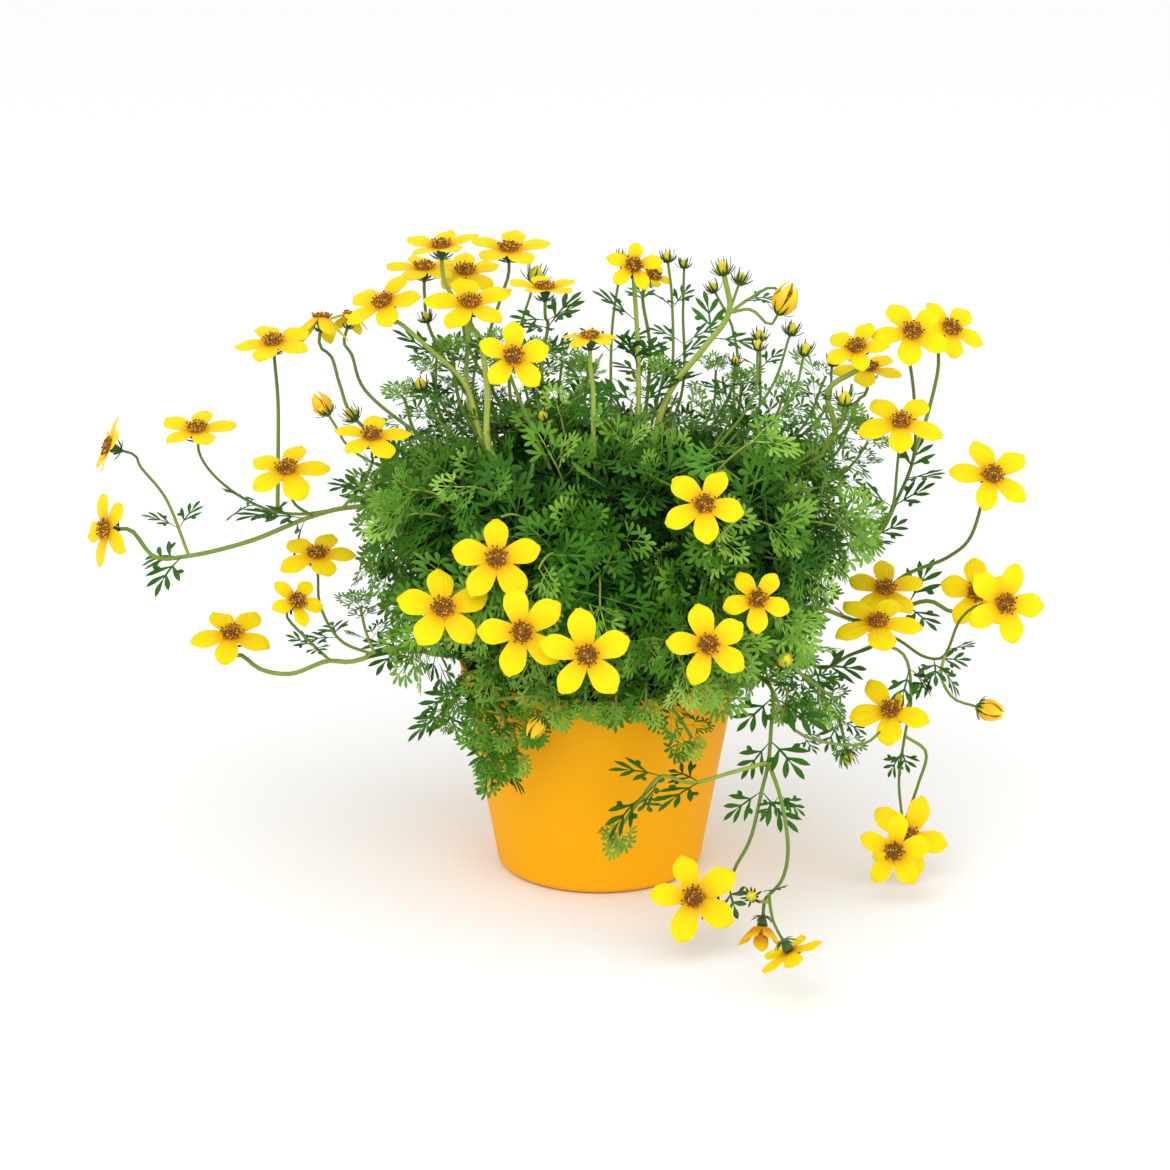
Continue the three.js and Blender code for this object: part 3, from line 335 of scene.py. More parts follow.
SHOOTS: dict[str, tuple[Stem, ...]] = {
    "left_long": (
        Stem(root=(-50, 5), inside=((-51, 5, 101), (-62, 6, 108), (-82, 6, 121), (-97, 4, 144)),
             path=((380, 510, 2), (345, 508, 2), (310, 517, 1), (250, 541, 0), (188, 556, -4),
                   (155, 557, -6)),
             bloom=23, wood=Wood.SHOOT, pairs=(0.45, 0.6, 0.84), leaf=25),
        Stem(path=((188, 556, -4), (165, 497, 12), (140, 466, 22)), bloom=22, wood=Wood.THIN,
             pairs=(0.22,), leaf=16),
        Stem(path=((345, 508, 2), (300, 514, 6), (270, 510, 8), (238, 495, 10), (211, 472, 10)),
             bloom=21, wood=Wood.THIN, pairs=(0.3, 0.5), leaf=22),
        Stem(path=((280, 512, 8), (278, 470, 14), (278, 400, 20)), bloom=7),
        Stem(path=((310, 517, 1), (294, 503, -12)), bloom=24, wood=Wood.THIN),
        Stem(path=((345, 508, 2), (364, 482, -22), (373, 460, -30)), bloom=25,
             wood=Wood.THIN, pairs=(0.5,), leaf=20),
    ),
    "left_low": (
        Stem(root=(-47, -17), inside=((-48, -17.5, 101), (-59, -23, 106), (-75, -28, 110)),
             path=((405, 648, -30), (375, 655, -32), (350, 662, -34), (328, 661, -33),
                   (290, 674, -30), (260, 669, -28), (241, 655, -24)),
             bloom=28, wood=Wood.SHOOT, pairs=(0.4,), leaf=24),
        Stem(path=((328, 661, -33), (308, 640, -44)), bloom=27, wood=Wood.THIN,
             pairs=(0.3,), leaf=16),
        Stem(path=((375, 655, -32), (340, 640, -22), (320, 605, -18)), bloom=26,
             wood=Wood.THIN, pairs=(0.35,), leaf=18),
        Stem(path=((375, 655, -32), (366, 632, -28), (360, 606, -24)), wood=Wood.THIN, fern=18,
             tuft=14),
    ),
    "left_rim": (
        Stem(root=(-41, -31), inside=((-42, -32, 101), (-51, -39, 106), (-63, -44, 104)),
             path=((458, 694, -48), (450, 705, -47), (444, 716, -46)),
             wood=Wood.SHOOT, pairs=(0.76, 0.94), leaf=21, fern=17, tuft=12),
        Stem(inside=((-51, -39, 106), (-54, -53, 105)),
             path=((478, 715, -66), (492, 745, -72), (500, 774, -74)), pairs=(0.7, 0.95), leaf=16,
             fern=18, bud=6),
        Stem(path=((546, 678, -78), (548, 700, -86), (541, 718, -88)), bud=10),
    ),
    "front": (
        Stem(root=(13, -45), inside=((13, -45.2, 104), (17, -57, 108), (21, -70, 106)),
             path=((655, 700, -78), (675, 712, -80), (692, 738, -80)), fern=17, tuft=13),
        Stem(inside=((17, -58, 106), (6, -68, 106)), path=((600, 702, -76), (583, 702, -80)),
             wood=Wood.THIN, fern=14, bud=6),
    ),
    "hanging": (
        Stem(root=(44, -27), inside=((45, -28, 101), (55, -35, 106), (69, -46, 107)),
             path=((772, 690, -56), (771, 730, -68), (768, 765, -80), (762, 790, -88),
                   (750, 840, -102), (735, 868, -106), (728, 886, -106)),
             bloom=43, pairs=(0.36, 0.48, 0.6, 0.84), leaf=24),
        Stem(path=((768, 765, -80), (781, 800, -94), (788, 850, -114), (782, 880, -130),
                   (768, 896, -142)),
             bloom=44, pairs=(0.2, 0.8), leaf=15),
        Stem(path=((768, 896, -142), (771, 911, -157)), bloom=45, wood=Wood.THIN),
        Stem(path=((766, 910, -150), (756, 901, -142), (752, 897, -150)), wood=Wood.THIN, bud=6),
        Stem(path=((768, 765, -80), (730, 773, -90), (690, 783, -92), (662, 776, -90),
                   (640, 800, -86), (620, 828, -82)),
             pairs=(0.4, 0.6, 0.75), leaf=24, tuft=18),
        Stem(path=((772, 690, -56), (795, 730, -62), (835, 744, -62), (866, 743, -60),
                   (880, 732, -54)),
             wood=Wood.THIN, pairs=(0.4, 0.62, 0.78), leaf=13),
    ),
    "right_low": (
        Stem(root=(51, -9), inside=((51.4, -9.2, 101), (63, -13, 106), (82, -19, 106)),
             path=((815, 690, -26), (838, 718, -32), (846, 750, -36)), pairs=(0.76, 0.88), leaf=15,
             fern=15, bud=8),
    ),
    "right": (
        Stem(root=(53, 6), inside=((54, 6, 101), (65, 4, 106), (86, 0, 106)),
             path=((820, 668, -8), (850, 655, -18)), bloom=37, pairs=(0.6,), leaf=26),
        Stem(path=((850, 655, -18), (880, 645, -10), (904, 655, -10), (911, 700, -14),
                   (905, 735, -22), (899, 780, -36), (902, 825, -50)),
             bloom=41, wood=Wood.THIN, pairs=(0.28, 0.56), leaf=18),
        Stem(path=((911, 700, -14), (900, 722, -26)), bloom=40, wood=Wood.THIN),
        Stem(path=((905, 735, -22), (926, 752, -18), (918, 785, -16)), bloom=42,
             wood=Wood.THIN),
    ),
    "right_mid": (
        Stem(root=(51, 20), inside=((52, 20.5, 101), (61, 23, 107), (76, 26, 110), (100, 34, 112)),
             path=((866, 622, 38), (900, 609, 38), (930, 601, 32), (953, 612, 28)),
             bloom=38, wood=Wood.SHOOT, pairs=(0.5, 0.72), leaf=24),
        Stem(path=((866, 622, 38), (902, 642, 12), (925, 657, 2), (943, 657, -4), (960, 620, -6),
                   (976, 606, -8)), bloom=39, wood=Wood.THIN, pairs=(0.5, 0.6), leaf=20),
        Stem(path=((943, 657, -4), (941, 675, -5), (953, 698, -8), (978, 707, -10)),
             wood=Wood.THIN, pairs=(0.2,), leaf=18, bud=12),
        Stem(path=((866, 622, 38), (875, 612, 24)), bloom=36, wood=Wood.THIN),
        Stem(path=((866, 622, 38), (898, 580, 36), (948, 557, 20), (970, 538, 10)),
             bloom=20, pairs=(0.4,), leaf=22),
    ),
    "right_high": (
        Stem(root=(44, 32), inside=((45, 33, 101), (53, 39, 107), (68, 45, 112), (88, 47, 122),
                                    (108, 42, 138)),
             path=((877, 535, 30), (897, 500, 24), (914, 455, 18), (914, 395, 12)),
             bloom=15, pairs=(0.52, 0.68), leaf=22),
        Stem(path=((914, 455, 18), (926, 420, 28), (938, 370, 42)), bloom=16),
        Stem(path=((877, 535, 30), (893, 505, 6), (897, 470, -8)), bloom=19,
             wood=Wood.THIN, pairs=(0.4,), leaf=20),
    ),
    "back_left": (
        Stem(root=(-26, 44), inside=((-26.5, 45.5, 101), (-33, 57, 106), (-44, 78, 108),
                                     (-54, 92, 96), (-58, 98, 78)),
             wood=Wood.SHOOT, fern=28, tuft=22),
    ),
    "back_right": (
        Stem(root=(24, 45), inside=((24.5, 46, 101), (31, 58, 106), (43, 80, 109),
                                    (56, 92, 102), (66, 98, 88)),
             wood=Wood.SHOOT, fern=28, tuft=22),
    ),
}

# Where the short leafy stems end that hang over the rim, as they are seen.
OVERHANGS: dict[str, tuple[Triple, ...]] = {
    "left_rim": (
        (478, 728, -64), (490, 758, -72), (504, 734, -74), (516, 756, -76), (532, 730, -82),
    ),
    "front": (
        (556, 706, -84), (586, 702, -86), (616, 704, -86), (646, 706, -84),
    ),
    "hanging": ((786, 706, -58),),
    "right_low": ((818, 704, -50),),
}


# How far above its end, and how far behind it, an overhanging stem starts and goes on.
OVERHANG_STEPS: tuple[Pair, ...] = ((-38, 20), (-18, 3), (0, 0))


def overhangs(name: str) -> tuple[Stem, ...]:
    """The short leafy stems of a shoot that rise from it, pass over the rim and hang.

    Args:
        name: the shoot's name.

    Returns:
        A stem for each of the shoot's places among the overhangs.
    """
    return tuple(
        Stem(path=tuple((across, down + drop, depth + back) for drop, back in OVERHANG_STEPS),
             wood=Wood.THIN, fern=18, tuft=13)
        for across, down, depth in OVERHANGS.get(name, ())
    )


def flowering(
    start: Triple, path: tuple[Triple, ...], bloom: int, wood: Wood = Wood.STALK,
    pairs: tuple[float, ...] = (), leaf: float = 0.0,
) -> Stem:
    """A stalk of the dome that ends in a bloom."""
    return Stem(path, start=start, wood=wood, bloom=bloom, pairs=pairs, leaf=leaf)


def budded(
    start: Triple, path: tuple[Triple, ...], bud: float,
    pairs: tuple[float, ...] = (), leaf: float = 0.0,
) -> Stem:
    """A thin stalk of the dome that ends in a bud."""
    return Stem(path, start=start, wood=Wood.THIN, bud=bud, pairs=pairs, leaf=leaf)


def leafy(
    start: Triple, path: tuple[Triple, ...], fern: float, tuft: float, wood: Wood = Wood.STALK,
) -> Stem:
    """A stalk of the dome with cut leaves all along it and a tuft at its tip."""
    return Stem(path, start=start, wood=wood, fern=fern, tuft=tuft)


STALKS: tuple[Stem, ...] = (
    flowering((-30, 4, 188), ((480, 440, 6), (467, 380, 10), (466, 320, 12), (446, 285, 14)),
              1, Wood.SHOOT, (0.62,), 16),
    flowering((-30, 25, 188), ((486, 370, 24), (500, 300, 34)), 2, Wood.STALK, (0.3,), 22),
    flowering((-52, 38, 178), ((430, 330, 46),), 3),
    flowering((-28, 48, 180), ((466, 340, 62),), 4),
    flowering((-40, -8, 188), ((486, 445, -12), (465, 384, -4), (425, 345, 4), (398, 322, 8)),
              5, Wood.SHOOT, (0.7,), 15),
    flowering((-26, -20, 188), ((492, 455, -24), (487, 385, -16), (478, 335, -10)),
              6, Wood.THICK, (0.55, 0.8), 15),
    flowering((-62, 32, 172), ((356, 420, 38), (340, 385, 50), (331, 356, 58)), 8),
    flowering((-44, 36, 170), ((365, 390, 56), (352, 355, 60)), 9),
    flowering((-14, 8, 196), ((542, 380, 8), (548, 325, 8)), 10, Wood.STALK, (0.66, 0.76, 0.85), 19),
    flowering((-26, -30, 190), ((524, 410, -32),), 11),
    flowering((2, -22, 194), ((594, 450, -30), (593, 390, -30)), 12, Wood.SHOOT, (0.6,), 13),
    flowering((24, 8, 192), ((638, 420, 6), (637, 330, 18)), 13, Wood.SHOOT, (0.4, 0.56, 0.75), 24),
    flowering((30, 26, 190), ((650, 350, 38),), 14, Wood.STALK, (0.55, 0.88), 18),
    flowering((70, 4, 166), ((833, 440, 4), (828, 390, 4)), 17, Wood.THICK),
    flowering((70, 14, 164), ((846, 430, 24), (858, 400, 32)), 18),
    Stem(start=(34, 4, 190), path=((668, 395, 4), (702, 350, 6), (729, 312, 8), (724, 275, 10)),
         wood=Wood.THICK, pairs=(0.5, 0.74), leaf=19, bud=8),
    Stem(path=((729, 312, 8), (739, 284, 16)), wood=Wood.THIN, bud=7),
    Stem(path=((729, 312, 8), (752, 310, -2), (770, 325, -4), (779, 312, -5)), wood=Wood.THIN, bud=14),
    budded((46, 12, 184), ((735, 380, 20), (733, 330, 26), (715, 292, 28)), 6),
    budded((52, 0, 180), ((770, 390, 0), (790, 335, 2)), 7, (0.55,), 18),
    budded((56, -10, 178), ((790, 400, -14), (804, 355, -16)), 7),
    budded((40, -16, 188), ((752, 400, -20), (758, 350, -22)), 6),
    budded((64, 16, 170), ((825, 410, 22), (832, 366, 24)), 6),
    budded((66, -6, 168), ((838, 430, -12), (844, 405, -14)), 8),
    budded((-62, 10, 172), ((352, 450, 12), (335, 425, 16), (328, 414, 18)), 11),
    budded((-64, 22, 170), ((366, 430, 26), (356, 420, 28)), 8),
    budded((-46, -8, 184), ((430, 410, -6), (422, 390, -6)), 7),
    budded((-10, 20, 196), ((520, 350, 24), (534, 282, 26)), 9),
    budded((10, 22, 196), ((612, 330, 28), (622, 262, 30)), 6, (0.6,), 20),
    budded((-8, -20, 196), ((545, 420, -26),), 6),
    flowering((-40, -42, 142), ((452, 640, -74),), 29),
    flowering((-32, -46, 162), ((496, 575, -76),), 30),
    flowering((-22, -50, 138), ((524, 650, -84),), 31),
    flowering((-2, -54, 136), ((588, 672, -90),), 32),
    flowering((48, -50, 172), ((704, 515, -74),), 33),
    flowering((52, -36, 148), ((760, 610, -68),), 34),
    flowering((38, -46, 140), ((708, 660, -84),), 35),
    budded((56, -26, 142), ((782, 668, -66), (785, 662, -78)), 9),
    budded((-50, 20, 184), ((440, 400, 20), (436, 350, 26), (428, 322, 28)), 6, (0.5, 0.66, 0.84), 20),
    Stem(path=((729, 312, 8), (752, 297, 4), (772, 287, 2), (781, 293, 0)),
         wood=Wood.THIN, pairs=(0.4,), leaf=13, bud=6),
    budded((20, 20, 196), ((668, 400, 20), (672, 300, 24), (668, 262, 26)), 6, (0.6, 0.8), 18),
    budded((22, 24, 196), ((680, 400, 26), (683, 310, 28), (684, 268, 30)), 5, (0.7,), 17),
    budded((50, 6, 180), ((755, 420, 4), (760, 370, 4), (760, 340, 2)), 6, (0.6, 0.85), 15),
    budded((44, 4, 184), ((730, 420, 4), (734, 380, 4), (735, 364, 2)), 5, (0.8,), 14),
    leafy((0, 10, 200), ((585, 410, 10), (588, 372, 14)), 17, 12, Wood.THIN),
    leafy((-14, 14, 200), ((545, 405, 14), (540, 350, 18)), 17, 12),
    leafy((-24, 0, 200), ((515, 415, 4), (508, 372, 4)), 18, 13),
    leafy((-34, 14, 200), ((490, 405, 16), (500, 342, 22)), 16, 12),
    leafy((-44, 4, 196), ((465, 415, 6), (452, 352, 6)), 17, 13),
    leafy((-54, 12, 190), ((445, 425, 12), (432, 372, 14)), 18, 13),
    leafy((-60, 0, 184), ((420, 440, -2), (404, 398, -4)), 18, 13),
    leafy((-20, 10, 200), ((530, 405, 10), (522, 366, 10)), 17, 13, Wood.THIN),
    leafy((-8, 12, 200), ((560, 405, 12), (562, 360, 14)), 17, 13, Wood.THIN),
    leafy((-38, 8, 198), ((476, 405, 10), (478, 346, 14)), 16, 12, Wood.THIN),
    leafy((74, 6, 168), ((838, 430, 6), (852, 384, 8)), 18, 13, Wood.THIN),
    leafy((76, 4, 164), ((846, 470, 2), (868, 442, 2)), 18, 13, Wood.THIN),
    Stem(start=(50, -34, 134), path=((748, 636, -84), (790, 666, -66), (836, 700, -46))),
    leafy((30, 12, 198), ((655, 410, 10), (664, 374, 10)), 16, 12, Wood.THIN),
    leafy((44, 12, 190), ((712, 410, 12), (716, 370, 14)), 15, 12, Wood.THIN),
    leafy((52, 8, 186), ((735, 420, 8), (742, 382, 8)), 20, 14),
    leafy((60, 2, 180), ((768, 430, 2), (786, 390, 0)), 20, 14, Wood.THIN),
    leafy((66, 8, 176), ((800, 430, 6), (826, 376, 6)), 20, 14, Wood.THIN),
    leafy((74, 0, 166), ((830, 460, -2), (850, 426, -4)), 20, 14, Wood.THIN),
)


# Surfaces on grids.


def band(
    low: np.ndarray, low_after: np.ndarray, high: np.ndarray, high_after: np.ndarray,
) -> np.ndarray:
    """Triangles between two rows of corners, two to a step.

    Args:
        low: corner numbers in the first row.
        low_after: the corners after them.
        high: corner numbers in the second row.
        high_after: the corners after them.

    Returns:
        Corner numbers, shape (triangles, 3).
    """
    first = np.stack([low, low_after, high_after], axis=-1).reshape(-1, 3)
    second = np.stack([low, high_after, high], axis=-1).reshape(-1, 3)
    return np.concatenate([first, second])


def copied(faces: np.ndarray, each: int, copies: int, start: int = 0) -> np.ndarray:
    """The triangles of several like bodies, whose points follow one another.

    Args:
        faces: the triangles of one body.
        each: points in a body.
        copies: how many bodies.
        start: the first body's first point.

    Returns:
        Corner numbers, shape (copies * triangles, 3).
    """
    starts = start + each * np.arange(copies)
    return (faces[None] + starts[:, None, None]).reshape(-1, 3)


def grid_faces(rows: int, columns: int, closed: bool) -> np.ndarray:
    """Triangles over a grid of points in rows, two to a cell.

    Args:
        rows: rows of points.
        columns: points in a row.
        closed: whether the last column joins the first.

    Returns:
        Corner numbers, shape (triangles, 3), turning from column to row.
    """
    across = columns if closed else columns - 1
    row, column = np.meshgrid(np.arange(rows - 1), np.arange(across), indexing="ij")
    here = row * columns + column
    beside = row * columns + (column + 1) % columns
    return band(here, beside, here + columns, beside + columns)


def ringed_faces(rows: int, columns: int) -> np.ndarray:
    """Triangles of closed rings between two poles.

    The points are the rings in order, then the first pole and the last pole.

    Args:
        rows: rings.
        columns: points in a ring.

    Returns:
        Corner numbers, shape (triangles, 3).
    """
    column = np.arange(columns)
    beside = (column + 1) % columns
    pole = np.full(columns, rows * columns)
    low = np.stack([pole, beside, column], axis=-1)
    last = (rows - 1) * columns
    high = np.stack([pole + 1, last + column, last + beside], axis=-1)
    return np.concatenate([grid_faces(rows, columns, True), low, high])


def rings(radii: np.ndarray, heights: np.ndarray, sides: int) -> tuple[np.ndarray, np.ndarray]:
    """A profile turned about the upright axis.

    The point at row i and column j is (r_i cos a_j, r_i sin a_j, z_i) with
    a_j = 2 pi j / sides. The first and last profile points lie on the axis.

    Args:
        radii: the profile's distances from the axis.
        heights: the profile's heights.
        sides: points round the axis.

    Returns:
        Points and triangles.
    """
    ring = around(2 * np.pi * np.arange(sides) / sides)
    body = radii[1:-1, None, None] * ring + heights[1:-1, None, None] * UP
    poles = heights[[0, -1], None] * UP
    return np.concatenate([body.reshape(-1, 3), poles]), ringed_faces(len(radii) - 2, sides)


def tubes(lines: np.ndarray, radii: np.ndarray, sides: int) -> tuple[np.ndarray, np.ndarray]:
    """Round tubes along lines of points.

    A ring's point is line + radius (cos a side + sin a across), where across is the
    direction that the line's tangents least follow, made square to the tangent.

    Args:
        lines: shape (..., steps, 3).
        radii: shape (..., steps).
        sides: points in a ring.

    Returns:
        Points of shape (..., steps * sides + 2, 3) and the triangles of one tube.
    """
    tangent = unit(np.gradient(lines, axis=-2))
    least = np.linalg.svd(tangent, full_matrices=False)[2][..., 2, :]
    side = unit(np.cross(least[..., None, :], tangent))
    across = np.cross(tangent, side)
    angle = 2 * np.pi * np.arange(sides) / sides
    round_trip = (
        side[..., None, :] * np.cos(angle)[:, None] + across[..., None, :] * np.sin(angle)[:, None]
    )
    body = lines[..., None, :] + radii[..., None, None] * round_trip
    steps = lines.shape[-2]
    body = body.reshape(*lines.shape[:-2], steps * sides, 3)
    points = np.concatenate([body, lines[..., [0, -1], :]], axis=-2)
    return points, ringed_faces(steps, sides)


def thick_sheets(sheets: np.ndarray, thickness: float) -> tuple[np.ndarray, np.ndarray]:
    """Closed thin bodies below curved sheets.

    The under side is the sheet less thickness times its unit normal, which is the cross
    product of its two slopes. A rim joins the two sides.

    Args:
        sheets: shape (..., along, across, 3), with the normal on the upper side.
        thickness: how far the under side lies below.

    Returns:
        Points of shape (..., 2 * along * across, 3) and the triangles of one body.
    """
    along, across = sheets.shape[-3:-1]
    slope_along = np.gradient(sheets, axis=-3)
    slope_across = np.gradient(sheets, axis=-2)
    normal = unit(np.cross(slope_along, slope_across))
    under = sheets - thickness * normal
    count = along * across
    shape = (*sheets.shape[:-3], count, 3)
    points = np.concatenate([sheets.reshape(shape), under.reshape(shape)], axis=-2)
    upper = grid_faces(along, across, False)[:, ::-1]
    lower = grid_faces(along, across, False) + count
    number = np.arange(count).reshape(along, across)
    rim = np.concatenate([
        number[0, :-1], number[:-1, -1], number[-1, :0:-1], number[:0:-1, 0],
    ])
    after = np.roll(rim, -1)
    return points, np.concatenate([upper, lower, band(rim, after, rim + count, after + count)])


def blades(base: np.ndarray, tip: np.ndarray, width: np.ndarray, height: float) -> np.ndarray:
    """Slim lobes, each a closed six-cornered body with a ridge from base to tip.

    Two side corners lie 0.35 of the way along, 0.42 of a width out, and two lie 0.75 of
    the way along, half a width out. All four are a height lower than the ridge.

    Args:
        base: shape (lobes, 3).
        tip: shape (lobes, 3).
        width: shape (lobes,).
        height: how far the ridge stands above the sides.

    Returns:
        Points, shape (lobes * 6, 3): base, tip, left near and far, right far and near.
    """
    side = unit(np.cross(UP, tip - base)) * width[:, None]
    near = base + 0.35 * (tip - base) - height * UP
    far = base + 0.75 * (tip - base) - height * UP
    corners = [base, tip, near + 0.42 * side, far + 0.5 * side, far - 0.5 * side, near - 0.42 * side]
    return np.stack(corners, axis=1).reshape(-1, 3)


BLADE_FACES = np.array([
    [0, 1, 3], [0, 3, 2], [0, 5, 4], [0, 4, 1], [0, 2, 5], [2, 3, 5], [3, 4, 5], [1, 4, 3],
])


def smooth_line(points: np.ndarray, spacing: float) -> np.ndarray:
    """A smooth curve through points, as evenly stepped points.

    Each stretch is a cubic whose end slopes come from the neighbouring points, weighted
    by the square roots of the distances between them.

    Args:
        points: shape (controls, 3).
        spacing: the distance between steps.

    Returns:
        Points on the curve, shape (steps, 3).
    """
    first = 2 * points[0] - points[1]
    last = 2 * points[-1] - points[-2]
    p = np.concatenate([[first], points, [last]])
    gaps = np.maximum(np.linalg.norm(np.diff(p, axis=0), axis=1) ** 0.5, 1e-4)
    before, here, after = gaps[:-2], gaps[1:-1], gaps[2:]
    step = np.diff(p, axis=0)
    a, b, c = step[:-2], step[1:-1], step[2:]
    near = (a / before[:, None] - (a + b) / (before + here)[:, None] + b / here[:, None]) * here[:, None]
    far = (b / here[:, None] - (b + c) / (here + after)[:, None] + c / after[:, None]) * here[:, None]
    t = np.linspace(0, 1, 24, endpoint=False)[:, None, None]
    start, end = p[1:-2], p[2:-1]
    curve = (
        start
        + near * t
        + (-3 * start + 3 * end - 2 * near - far) * t**2
        + (2 * start - 2 * end + near + far) * t**3
    )
    fine = np.concatenate([curve.transpose(1, 0, 2).reshape(-1, 3), points[-1:]])
    passed = np.concatenate([[0], np.cumsum(np.linalg.norm(np.diff(fine, axis=0), axis=1))])
    steps = max(4, round(passed[-1] / spacing) + 1)
    places = np.linspace(0, passed[-1], steps)
    return np.stack([np.interp(places, passed, fine[:, k]) for k in range(3)], axis=-1)


# Materials.


class Nodes:
    """A small hand for building one node tree."""

    def __init__(self, tree: bpy.types.NodeTree) -> None:
        """Starts on an empty tree."""
        self.tree = tree
        tree.nodes.clear()

    def add(self, kind: str, **settings: object) -> bpy.types.Node:
        """Adds a node.

        Args:
            kind: the node's type without its ShaderNode prefix.
            settings: node properties, or socket values where the name is a socket's with
                spaces written as underscores.

        Returns:
            The node.
        """
        node = self.tree.nodes.new(kind if kind.startswith("Node") else "ShaderNode" + kind)
        for name, value in settings.items():
            socket = node.inputs.get(name.replace("_", " ")) if name[0].isupper() else None
            if socket is not None:
                socket.default_value = value
            else:
                setattr(node, name, value)
        return node

    def link(self, source: bpy.types.NodeSocket, target: bpy.types.NodeSocket) -> None:
        """Joins two sockets."""
        self.tree.links.new(source, target)

    def ramp(
        self, factor: bpy.types.NodeSocket, stops: list[tuple[float, Triple]],
    ) -> bpy.types.NodeSocket:
        """Adds a colour ramp.

        Args:
            factor: what the ramp runs along, from 0 to 1.
            stops: places on the ramp and their colours.

        Returns:
            The ramp's colour output.
        """
        node = self.add("ValToRGB")
        elements = node.color_ramp.elements
        while len(elements) < len(stops):
            elements.new(0.5)
        for element, (place, colour) in zip(elements, stops):
            element.position = place
            element.color = (*colour, 1.0)
        self.link(factor, node.inputs["Fac"])
        return node.outputs["Color"]


def mottle_group() -> bpy.types.NodeTree:
    """The shared mottling, made once: noise on a place.

    The mask is 0.5 + contrast (noise - 0.5), held from 0 to 1, and the height is noise at
    four times the scale.

    Returns:
        The node group.
    """
    name = "mottle"
    if name in bpy.data.node_groups:
        return bpy.data.node_groups[name]
    tree = bpy.data.node_groups.new(name, "ShaderNodeTree")
    face = tree.interface
    face.new_socket("Place", in_out="INPUT", socket_type="NodeSocketVector")
    scale = face.new_socket("Scale", in_out="INPUT", socket_type="NodeSocketFloat")
    scale.default_value = 100.0
    contrast = face.new_socket("Contrast", in_out="INPUT", socket_type="NodeSocketFloat")
    contrast.default_value = 1.0
    face.new_socket("Mask", in_out="OUTPUT", socket_type="NodeSocketFloat")
    face.new_socket("Height", in_out="OUTPUT", socket_type="NodeSocketFloat")
    nodes = Nodes(tree)
    start = nodes.add("NodeGroupInput")
    end = nodes.add("NodeGroupOutput")
    broad = nodes.add("TexNoise", Detail=3.0)
    fine = nodes.add("TexNoise", Detail=2.0)
    finer = nodes.add("Math", operation="MULTIPLY")
    finer.inputs[1].default_value = 4.0
    centred = nodes.add("Math", operation="SUBTRACT")
    centred.inputs[1].default_value = 0.5
    spread = nodes.add("Math", operation="MULTIPLY")
    back = nodes.add("Math", operation="ADD", use_clamp=True)
    back.inputs[1].default_value = 0.5
    nodes.link(start.outputs["Place"], broad.inputs["Vector"])
    nodes.link(start.outputs["Place"], fine.inputs["Vector"])
    nodes.link(start.outputs["Scale"], broad.inputs["Scale"])
    nodes.link(start.outputs["Scale"], finer.inputs[0])
    nodes.link(finer.outputs[0], fine.inputs["Scale"])
    nodes.link(broad.outputs["Fac"], centred.inputs[0])
    nodes.link(centred.outputs[0], spread.inputs[0])
    nodes.link(start.outputs["Contrast"], spread.inputs[1])
    nodes.link(spread.outputs[0], back.inputs[0])
    nodes.link(back.outputs[0], end.inputs["Mask"])
    nodes.link(fine.outputs["Fac"], end.inputs["Height"])
    return tree


